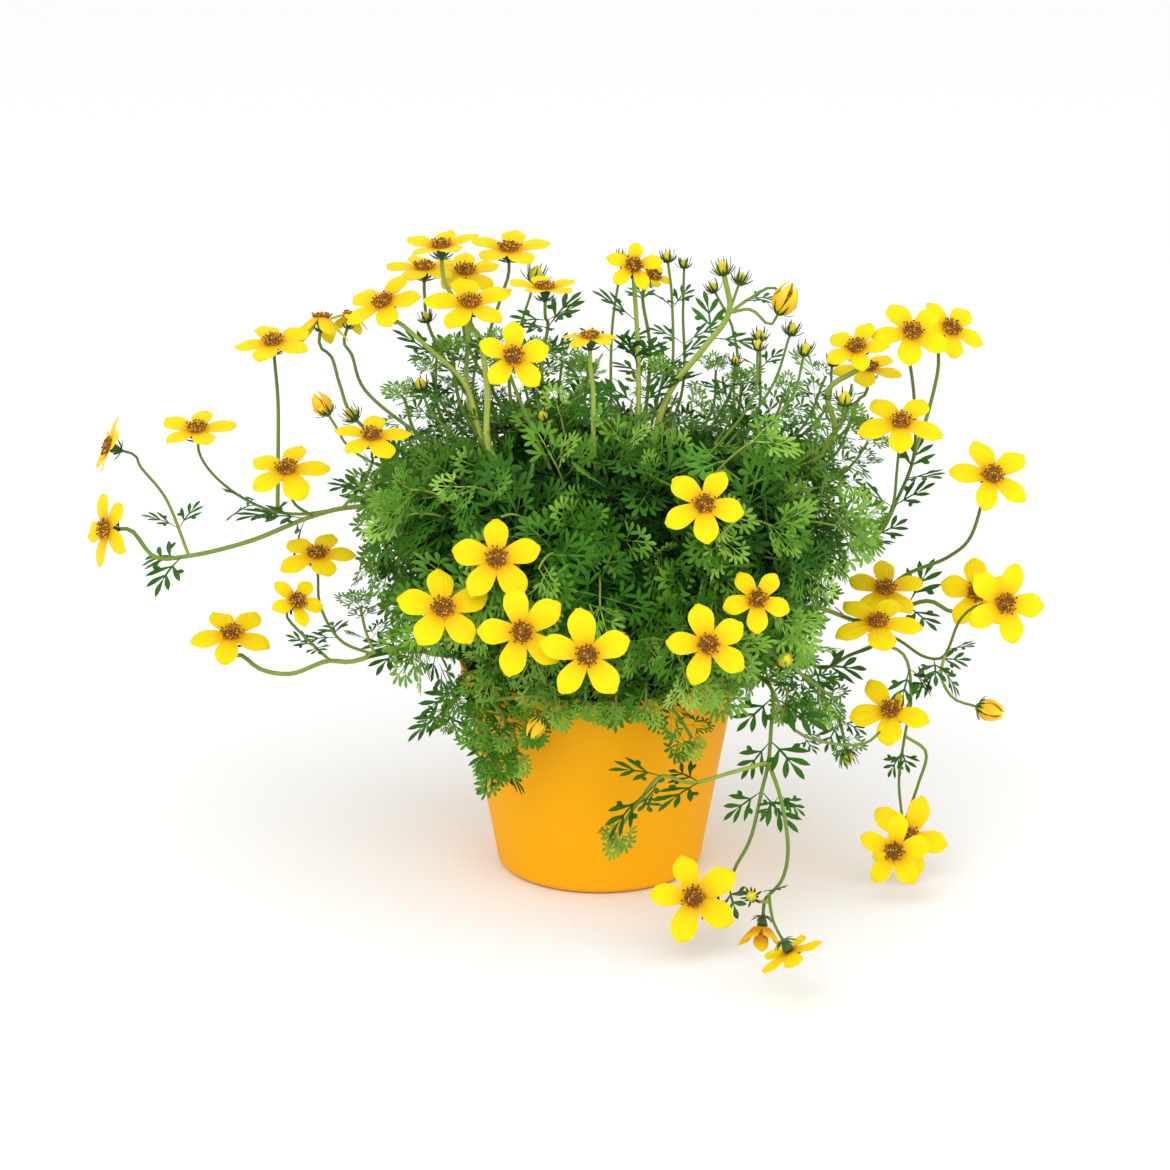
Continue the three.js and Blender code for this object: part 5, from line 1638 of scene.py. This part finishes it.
@dataclass
class Growth:
    """Stems with their calyces, buds and leaves, grown into one piece."""

    calyx_length: float = 6.5
    spacing: float = 3.5
    sides: int = 7
    root_heights: Pair = (83.0, 97.0)
    taper: float = 0.25
    bracts: int = 8
    cup_sides: int = 12
    bud_bracts: int = 11
    half_open_from: float = 9.0
    pair_spread: float = 0.85
    pair_tone: float = 0.38
    fern_from: float = 0.25
    fern_steps: int = 3
    tuft_leaves: int = 6
    tuft_tone: float = 0.72
    piece: Piece = field(default_factory=Piece)
    cut: Leaves = field(default_factory=lambda: Leaves(LeafKind.CUT))
    slim: Leaves = field(default_factory=lambda: Leaves(LeafKind.SLIM))
    lines: list[np.ndarray] = field(default_factory=list)

    STEM_SLOT = 0
    LEAF_SLOT = 1
    BRACT_SLOT = 2
    BUD_SLOT = 3

    def controls(self, stem: Stem) -> np.ndarray:
        """The points that a stem passes.

        Args:
            stem: the stem.

        Returns:
            Points from its root, its start or an earlier stem to its end, shape (points, 3).
        """
        points: list[np.ndarray] = []
        if stem.root:
            points.extend(np.array([*stem.root, height]) for height in self.root_heights)
        if stem.start:
            points.append(Bush.inwards(np.array(stem.start)))
        points.extend(np.array(point, float) for point in stem.inside)
        points.extend(VIEW.seen(point) for point in stem.path)
        if stem.bloom:
            place = BLOOMS[stem.bloom]
            points.append(place.centre - place.normal * self.calyx_length * 1.9)
            points.append(place.centre - place.normal * self.calyx_length * 0.55)
        if not stem.root and not stem.start:
            points[0] = self.nearest(points[0])
        return np.array(points)

    def nearest(self, place: np.ndarray) -> np.ndarray:
        """The point of the stems so far that is nearest to a place."""
        known = np.concatenate(self.lines)
        return known[np.argmin(np.linalg.norm(known - place, axis=1))]

    def grow(self, stem: Stem, item: int) -> None:
        """Adds one stem, thinner towards its end, and what it carries.

        The radius at a share s of the length is the stem's radius times 1 - taper s.

        Args:
            stem: the stem.
            item: the number that its draws follow.
        """
        line = smooth_line(self.controls(stem), self.spacing)
        self.lines.append(line)
        share = np.linspace(0, 1, len(line))
        radius = stem.wood.value * (1 - self.taper * share)
        pale = 0.75 if stem.wood in (Wood.THICK, Wood.SHOOT) else 0.5
        tone = np.append(np.repeat(pale + 0.15 - 0.4 * share, self.sides), [pale, pale - 0.3])
        if stem.bloom and not stem.start:
            tone = tone - 0.15
        self.piece.add(tubes(line, radius, self.sides), self.STEM_SLOT, tone=np.clip(tone, 0, 1))
        tangents = unit(np.gradient(line, axis=0))
        if stem.bloom:
            self.add_calyx(stem.bloom)
        if stem.bud:
            self.add_bud(line[-1], tangents[-1], stem.bud, item)
        self.add_pairs(stem, line, tangents, item)
        self.add_fern(stem, line, tangents, item)
        if stem.tuft:
            self.add_tuft(line[-1], tangents[-1], stem.tuft, item)

    def add_calyx(self, number: int) -> None:
        """Adds the green cup behind a bloom, with eight slim bracts that spread from it.

        Args:
            number: the bloom's number.
        """
        place = BLOOMS[number]
        size = math.sqrt(place.across / 38.0)
        shut = place.lift < -20
        radii = np.array([0, 1.0, 1.5, 2.3, 2.8, 2.2, 0]) * size * (0.8 if shut else 1.0)
        heights = np.array([-6.6, -6.2, -4.6, -2.5, -1.3, -0.5, -0.45])
        cup, faces = rings(radii, heights, self.cup_sides)
        tone = np.append(np.repeat(np.linspace(0.7, 0.35, 5), self.cup_sides), [0.7, 0.3])
        self.piece.add((placed(cup, place.frame, place.centre), faces), self.BRACT_SLOT, tone=tone)
        bract = np.arange(self.bracts)
        spin = around(2 * np.pi * (bract + 0.3) / self.bracts + number)
        reach = (2.2 if shut else 4.2) * size
        bases = spin * 1.5 * size - 5.2 * UP
        tips = spin * (1.5 * size + reach) - (2.6 + 1.4 * draw(bract + number, 41))[:, None] * UP
        sheets = self.bract_sheets(bases, tips, 0.62 * size, spin)
        points, faces = thick_sheets(sheets, 0.25)
        self.piece.add((placed(points, place.frame, place.centre), faces), self.BRACT_SLOT, tone=0.25)

    @staticmethod
    def bract_sheets(bases: np.ndarray, tips: np.ndarray, half: float, spin: np.ndarray) -> np.ndarray:
        """Slim pointed sheets from bases to tips, bowed out in the middle by a sine.

        Args:
            bases: shape (bracts, 3).
            tips: shape (bracts, 3).
            half: the greatest half width.
            spin: the direction out from the axis, shape (bracts, 3).

        Returns:
            Sheets of shape (bracts, 5, 3, 3).
        """
        s = np.linspace(0, 1, 5)[None, :, None, None]
        t = np.array([-1.0, 0.0, 1.0])[None, None, :, None]
        side = np.cross(UP, spin)[:, None, None, :]
        middle = bases[:, None, None, :] + (tips - bases)[:, None, None, :] * s
        width = half * (0.55 + 0.45 * np.sin(np.pi * s)) * (1 - s**3) + 0.08
        bow = 0.35 * np.sin(np.pi * s) * (spin[:, None, None, :] - 0.6 * UP)
        return middle + side * width * t + bow

    def add_bud(self, end: np.ndarray, ahead: np.ndarray, length: float, item: int) -> None:
        """Adds a bud in a star of bracts, shut or, where it is long, half open.

        Args:
            end: the stem's end.
            ahead: where the stem points there.
            length: the bud's length.
            item: the number that its draws follow.
        """
        beside = np.cross(UP if abs(ahead[2]) < 0.9 else np.array([1.0, 0, 0]), ahead)
        turn = frames_at(beside, ahead)
        half_open = length > self.half_open_from
        radius = length * (0.34 if half_open else 0.40)
        shape = self.open_bud if half_open else self.shut_bud
        points, faces, tone = shape(length, radius)
        self.piece.add((placed(points, turn, end), faces), self.BUD_SLOT, tone=tone)
        cup_radii = radius * np.array([0, 0.35, 0.8, 0.95, 0.7, 0])
        cup_heights = length * np.array([-0.1, -0.08, 0.1, 0.3, 0.36, 0.36])
        cup, cup_faces = rings(cup_radii, cup_heights, 10)
        self.piece.add((placed(cup, turn, end), cup_faces), self.BRACT_SLOT, tone=0.8)
        number = np.arange(self.bud_bracts)
        spin = around(2 * np.pi * number / self.bud_bracts + item)
        outer = (number % 2)[:, None]
        short = 0.45 if half_open else 1.0
        reach = radius + length * np.where(outer, 0.42, 0.16) * short
        rise = length * np.where(outer, 0.45, 0.95) * short
        sheets = self.bract_sheets(spin * radius * 0.6, spin * reach + rise * UP, 0.42, spin)
        points, faces = thick_sheets(sheets, 0.25)
        self.piece.add((placed(points, turn, end), faces), self.BRACT_SLOT, tone=0.2)

    @staticmethod
    def shut_bud(length: float, radius: float) -> tuple[np.ndarray, np.ndarray, np.ndarray]:
        """A shut bud: a short egg with ten folds.

        Its radius at a height h from 0 to 1 is the radius times the sine of pi h to the
        power 0.8, times 1 + 0.1 h cos(5 a + 3 h) at the angle a.

        Args:
            length: how long it is.
            radius: its greatest radius.

        Returns:
            Points, triangles and the tone of each point.
        """
        h = np.linspace(0, 1, 8)
        radii = radius * np.sin(np.pi * h**0.8)
        radii[[0, -1]] = 0.0
        points, faces = rings(radii, 0.95 * length * h - 0.4, 15)
        level = np.clip(points[:, 2] / length, 0, 1)
        wave = np.cos(5 * np.arctan2(points[:, 1], points[:, 0]) + 3 * level)
        points[:, :2] *= (1 + 0.1 * level * wave)[:, None]
        return points, faces, 0.1 + 0.36 * level + 0.05 * wave

    @staticmethod
    def open_bud(length: float, radius: float) -> tuple[np.ndarray, np.ndarray, np.ndarray]:
        """A half-open bud: five narrow petals that stand in a cup and part at their tips.

        With s from base to tip and t from edge to edge, a petal's point lies at the
        radius r (0.3 + 0.8 sin(pi s^0.8)) and the angle a + 0.6 t (1 - s^4), at the
        height length s.

        Args:
            length: how long it is.
            radius: the cup's radius r.

        Returns:
            Points of shape (petals, points, 3), triangles and the tone of each point.
        """
        petals = 5
        s = np.linspace(0, 1, 9)[None, :, None]
        t = np.linspace(-1, 1, 5)[None, None, :]
        item = np.arange(petals)[:, None, None]
        out = radius * (0.3 + 0.8 * np.sin(np.pi * s**0.8) + 0.25 * s * draw(item, 46))
        angle = 2 * np.pi * item / petals + 0.6 * t * (1 - s**4) + 0.3 * s
        rise = length * (s * (0.9 + 0.2 * draw(item, 47)) - 0.05 * t**2)
        sheets = np.stack([out * np.cos(angle), out * np.sin(angle), rise + 0 * angle], axis=-1)
        points, faces = thick_sheets(sheets, 0.3)
        shade = np.broadcast_to(0.45 + 0.5 * s - 0.1 * np.abs(t), sheets.shape[:-1])
        return points, faces, np.tile(shade.reshape(petals, -1), 2)

    def side_leaf(
        self, leaves: Leaves, point: np.ndarray, along: np.ndarray, spin: float, length: float,
        spread: float, tone: float,
    ) -> None:
        """Adds a leaf that leaves a stem out to one side and a little forwards.

        Args:
            leaves: the leaves that it joins.
            point: where it leaves the stem.
            along: where the stem points there.
            spin: the leaf's angle round the stem.
            length: its length.
            spread: its angle away from the stem.
            tone: how light it is.
        """
        side = np.cross(UP, along)
        if np.linalg.norm(side) < 0.2:
            side = np.array([1.0, 0.0, 0.0])
        forward = leaning(along, unit(side), spin, spread)
        up = np.array([0.0, -0.35, 1.0]) + 0.3 * along
        leaves.add(point + 0.1 * forward, forward, up, length, tone)

    def add_pairs(self, stem: Stem, line: np.ndarray, tangents: np.ndarray, item: int) -> None:
        """Adds the slim leaves, in pairs along the stem.

        Args:
            stem: the stem.
            line: its points.
            tangents: where it points at each of them.
            item: the number that its draws follow.
        """
        for pair, share in enumerate(stem.pairs):
            step = min(len(line) - 2, max(1, round(share * (len(line) - 1))))
            for half in (0, 1):
                number = item * 40 + pair * 4 + half
                spin = half * math.pi + (pair % 2) * 0.9 + (draw(number, 4) - 0.5) * 0.8
                length = stem.leaf * (0.88 + 0.3 * draw(number, 5))
                self.side_leaf(self.slim, line[step], tangents[step], spin, length,
                               self.pair_spread, self.pair_tone)

    def add_fern(self, stem: Stem, line: np.ndarray, tangents: np.ndarray, item: int) -> None:
        """Adds cut leaves all along the stem, each pair a quarter turn on from the last.

        Args:
            stem: the stem.
            line: its points.
            tangents: where it points at each of them.
            item: the number that its draws follow.
        """
        if not stem.fern:
            return
        steps = range(int(len(line) * self.fern_from), len(line) - 1, self.fern_steps)
        for place, step in enumerate(steps):
            for half in (0, 1):
                number = item * 60 + place * 2 + half
                spin = half * math.pi + (place % 2) * 1.4 + (draw(number, 42) - 0.5)
                length = stem.fern * (0.75 + 0.4 * draw(number, 43))
                self.side_leaf(self.cut, line[step], tangents[step], spin, length, 1.0,
                               0.45 + 0.2 * draw(number, 44))

    def add_tuft(self, end: np.ndarray, ahead: np.ndarray, length: float, item: int) -> None:
        """Adds the light young leaves at a stem's tip.

        Args:
            end: the stem's end.
            ahead: where the stem points there.
            length: the leaves' length.
            item: the number that their draws follow.
        """
        for leaf in range(self.tuft_leaves):
            size = length * (0.6 + 0.5 * draw(item * 8 + leaf, 45))
            self.side_leaf(self.cut, end - 1.5 * ahead, ahead, leaf * TUFT_TURN + item, size,
                           0.35 + 0.1 * leaf, self.tuft_tone)

    def leaf_surfaces(self, leaves: Leaves) -> tuple[np.ndarray, np.ndarray, np.ndarray] | None:
        """The leaves that leave every bloom free.

        Args:
            leaves: the leaves so far.

        Returns:
            Points, triangles and tones, or nothing if there are no leaves.
        """
        if not leaves.bases:
            return None
        points, faces, tone = leaves.surfaces()
        keep = clear_of_blooms(points)
        return points[keep], faces, tone[keep]

    def finish(self, name: str, node: str) -> None:
        """Adds the leaves and makes the piece.

        Args:
            name: the piece's name.
            node: the solid that it stands for.
        """
        for leaves in (self.cut, self.slim):
            surfaces = self.leaf_surfaces(leaves)
            if surfaces:
                points, faces, tone = surfaces
                self.piece.add((points, faces), self.LEAF_SLOT, tone=np.clip(tone, 0, 1))
        self.piece.make(name, (STEM, LEAF, BRACT, BUD_PETAL), "foliage", (node,))


@dataclass(frozen=True)
class Bush:
    """The dome of cut foliage with its stalks."""

    middle: Triple = (2.0, -2.0, 150.0)
    dome_middle: Triple = (8.0, -3.0, 149.0)
    reach: Triple = (108.0, 83.0, 67.0)
    slope: float = 0.045
    narrowing: float = 0.24
    shift: float = 9.0
    below: float = 68.0
    lowest: float = -0.56
    airy_from: float = 178.0
    airy_to: float = 212.0
    fullness: float = 2.6
    left_out: float = 0.62
    # Painted light and shade on the dome's leaves: from this share of the reach outwards they are painted
    # lighter, and deeper leaves stay dark as painted shade.
    painted_light_from: float = 0.45
    painted_light_over: float = 0.5
    painted_light_gain: float = 0.5
    sprigs: int = 213
    nodes: int = 5
    steps: int = 16
    stem_radius: float = 0.75
    stem_sides: int = 5
    tip_leaves: int = 4

    @staticmethod
    def inwards(start: np.ndarray, share: float = 0.5) -> np.ndarray:
        """A stalk's start, moved towards the bush's middle."""
        return start + share * (np.array(Bush.middle) - start)

    def spread(self, places: np.ndarray) -> np.ndarray:
        """How far out places lie: 0 at the dome's middle and 1 at its surface.

        The surface is a full ellipsoid: the sum of the offsets over the reaches, each
        to the power of the fullness, is 1.

        Args:
            places: shape (..., 3).

        Returns:
            Shares of shape (...).
        """
        offset = places - np.array(self.dome_middle)
        offset[..., 2] += self.slope * offset[..., 0]
        share = np.abs(offset) / np.array(self.reach)
        return (share**self.fullness).sum(axis=-1) ** (1 / self.fullness)

    def sprig_lines(self) -> np.ndarray:
        """The leafy stems of the dome.

        Stem i is the curve (1-u)^2 S + 2u(1-u) M + u^2 E. E lies in the dome's outer
        part, at a height that steps by one irrational share and an angle that steps by
        another. S lies low and near the axis, and M above the middle of S and E, so that
        stems rise and then arch out. Below its middle the dome hangs down, its sides draw
        in and it moves to the left. Its upper part falls by the slope times the place to
        the right.

        Returns:
            Lines of shape (sprigs, steps, 3).
        """
        i = np.arange(self.sprigs)
        height = 1 - ((i * 0.754878) % 1) * (1 - self.lowest)
        angle = 2 * np.pi * ((i * 0.569840) % 1)
        ring = np.where(height > 0, np.sqrt(1 - np.maximum(height, 0) ** 2), 1 - 0.3 * height**2)
        outward = np.stack([ring * np.cos(angle), ring * np.sin(angle), np.maximum(height, 0)], axis=-1)
        full = (np.abs(outward) ** self.fullness).sum(axis=-1) ** (-1 / self.fullness)
        depth = 0.42 * draw(i, 51) ** 1.5
        rugged = 1 + 0.07 * np.sin(3 * angle + 5 * height) + 0.2 * (draw(i, 52) - 0.5)
        end = outward * np.array(self.reach) * (full * rugged * (1 - depth))[:, None]
        end[:, 0] *= 1 + self.narrowing * np.minimum(height, 0) / -self.lowest
        end[:, 0] += self.shift * np.minimum(height, 0)
        fall = self.slope * np.clip(0.5 + 0.9 * height, 0, 1)
        end[:, 2] += np.minimum(height, 0) * self.below - fall * end[:, 0]
        end += np.array(self.dome_middle)
        start = np.stack([end[:, 0] * 0.22, end[:, 1] * 0.22, 104 + 14 * draw(i, 53)], axis=-1)
        middle = 0.5 * (start + end) + (10 + 34 * ring)[:, None] * UP
        u = np.linspace(0, 1, self.steps)[None, :, None]
        return (
            (1 - u) ** 2 * start[:, None, :]
            + 2 * u * (1 - u) * middle[:, None, :]
            + u**2 * end[:, None, :]
        )

    def build(self) -> None:
        """Makes the stalks as one piece and the dome's foliage as three."""
        growth = Growth()
        for item, stem in enumerate(STALKS):
            growth.grow(stem, BUSH_SEED + item)
        lines = self.sprig_lines()
        lines = lines[clear_of_blooms(lines)]
        share = np.linspace(0, 1, self.steps)
        radii = np.broadcast_to(self.stem_radius * (1.4 - 0.8 * share), lines.shape[:-1])
        growth.piece.add(tubes(lines, radii, self.stem_sides), growth.STEM_SLOT, tone=0.6)
        growth.finish("bush_stalks", "bush")
        self.build_foliage(lines)

    def build_foliage(self, lines: np.ndarray) -> None:
        """Makes the dome's leaves.

        Every stem carries pairs of cut leaves, each pair a quarter turn on from the last,
        and a tuft of light leaves at its tip. Deep leaves are painted dark as painted shade,
        and leaves towards the dome's surface are painted lighter. Leaves grow thinner
        towards the top: from one height to another, a rising share is left out. The
        leaves go into three pieces, for the front and for each side.

        Args:
            lines: the dome's leafy stems, shape (stems, steps, 3).
        """
        leaves = Leaves(LeafKind.CUT)
        tangents = unit(np.gradient(lines, axis=1))
        sprig = np.arange(len(lines))
        shares = np.linspace(0.4, 0.93, self.nodes)
        for place, share in enumerate(shares):
            step = round(share * (self.steps - 1))
            point, along = lines[:, step], tangents[:, step]
            side = unit(np.cross(along, UP) + 1e-3)
            for half in (0, 1):
                number = sprig * 16 + place * 2 + half
                spin = half * np.pi + place * 1.57 + 1.2 * (draw(number, 61) - 0.5) + sprig
                spread = 0.75 + 0.5 * draw(number, 62)
                forward = leaning(along, side, spin[:, None], spread[:, None])
                up = along + 0.5 * UP + 0.35 * np.array([0.0, -1.0, 0.0])
                length = (36 - 12 * share) * (0.8 + 0.4 * draw(number, 63))
                leaves.add(point, forward, up, length, 0.25 * (draw(number, 64) - 0.5))
        for leaf in range(self.tip_leaves):
            number = sprig * 9 + leaf
            along, end = tangents[:, -1], lines[:, -1]
            side = unit(np.cross(along, UP) + 1e-3)
            spin = leaf * TUFT_TURN + sprig
            forward = leaning(along, side, spin[:, None], 0.3 + 0.16 * leaf)
            length = 15 + 9 * draw(number, 65)
            leaves.add(end, forward, along + 0.3 * UP, length, 0.16 + 0.2 * draw(number, 66))
        points, faces, tone = leaves.surfaces()
        # Painted shade: leaves deep in the dome keep a dark tone, and leaves towards its surface are
        # painted lighter.
        out = np.clip((self.spread(points) - self.painted_light_from) / self.painted_light_over, 0, 1)
        tone = tone + self.painted_light_gain * out**1.5
        height = points[..., 2].mean(axis=1) + self.slope * points[..., 0].mean(axis=1)
        airy = np.clip((height - self.airy_from) / (self.airy_to - self.airy_from), 0, 1)
        stays = draw(np.arange(len(points)), 67) > self.left_out * airy
        keep = clear_of_blooms(points) & stays
        points, tone = points[keep], np.clip(tone[keep], 0, 1)
        angle = np.arctan2(points[:, 0, 1], points[:, 0, 0]) + np.pi / 2
        sector = np.round(angle / (2 * np.pi / 3)).astype(int) % 3
        for number, name in enumerate(("front", "right", "left")):
            chosen = sector == number
            piece = Piece()
            piece.add((points[chosen], faces), 0, tone=tone[chosen])
            piece.make("bush_foliage_" + name, (LEAF,), "foliage", ("bush",))


def grow_shoots() -> None:
    """Makes each leafy shoot as one piece."""
    for seed, (name, stems) in enumerate(SHOOTS.items(), start=1):
        growth = Growth()
        for item, stem in enumerate(stems + overhangs(name)):
            growth.grow(stem, seed * SHOOT_SEEDS + item)
        growth.finish("spray_" + name, "shoot_" + name)


@dataclass(frozen=True)
class Studio:
    """The pale floor, the soft light, and the photo's camera."""

    floor_half: float = 3.0
    floor_drop: float = 0.0004
    key_place: Triple = (-0.6, -1.7, 1.7)
    fill_place: Triple = (1.4, -1.2, 1.0)
    aim: Triple = (0.0, 0.0, 0.14)
    light_size: float = 1.9
    light_power: float = 20.0
    fill_power: float = 10.0
    sky: float = 1.0
    sensor: float = 36.0

    def build(self) -> None:
        """Makes the stage, the lights and the camera."""
        self.make_floor()
        self.make_light("key", self.key_place, self.light_power)
        self.make_light("fill", self.fill_place, self.fill_power)
        self.make_sky()
        self.make_camera()
        bpy.context.scene.view_settings.view_transform = "Standard"

    def make_floor(self) -> None:
        """A flat pale floor a hair below the pot."""
        half = self.floor_half
        mesh = bpy.data.meshes.new("floor")
        corners = [(-half, -half), (half, -half), (half, half), (-half, half)]
        mesh.from_pydata([(x, y, -self.floor_drop) for x, y in corners], [], [(0, 1, 2, 3)])
        mesh.materials.append(FLOOR.material())
        floor = bpy.data.objects.new("floor", mesh)
        bpy.context.scene.collection.objects.link(floor)

    def make_light(self, name: str, place: Triple, power: float) -> None:
        """Makes a large square light that faces the plant.

        Args:
            name: the light's name.
            place: where it stands, in metres.
            power: its power in watts.
        """
        data = bpy.data.lights.new(name, "AREA")
        data.shape = "SQUARE"
        data.size = self.light_size
        data.energy = power
        light = bpy.data.objects.new(name, data)
        away = unit(np.array(place) - np.array(self.aim))
        matrix = np.eye(4)
        matrix[:3, :3] = frames_at(np.cross(away, UP), away)
        matrix[:3, 3] = place
        light.matrix_world = Matrix(matrix.tolist())
        bpy.context.scene.collection.objects.link(light)

    def make_sky(self) -> None:
        """An even white sky."""
        world = bpy.data.worlds.new("studio")
        world.use_nodes = True
        background = world.node_tree.nodes["Background"]
        background.inputs["Color"].default_value = (1.0, 1.0, 1.0, 1.0)
        background.inputs["Strength"].default_value = self.sky
        bpy.context.scene.world = world

    def make_camera(self) -> None:
        """The camera, with the photo's place, tilt and angle of view."""
        data = bpy.data.cameras.new("camera")
        data.sensor_width = self.sensor
        data.lens = self.sensor * VIEW.focal / VIEW.frame_width
        camera = bpy.data.objects.new("camera", data)
        camera.location = (VIEW.eye * MM).tolist()
        camera.rotation_euler = (math.pi / 2 - VIEW.tilt, 0.0, 0.0)
        bpy.context.scene.collection.objects.link(camera)
        bpy.context.scene.camera = camera


def main() -> None:
    """Builds every piece in order."""
    logging.basicConfig(level=logging.INFO, format="%(name)s: %(message)s")
    pot = Pot()
    pot.build()
    Compost().build(pot)
    Bush().build()
    grow_shoots()
    for number in BLOOMS:
        Flower(number).build()
    Studio().build()


if __name__ == "__main__":
    main()
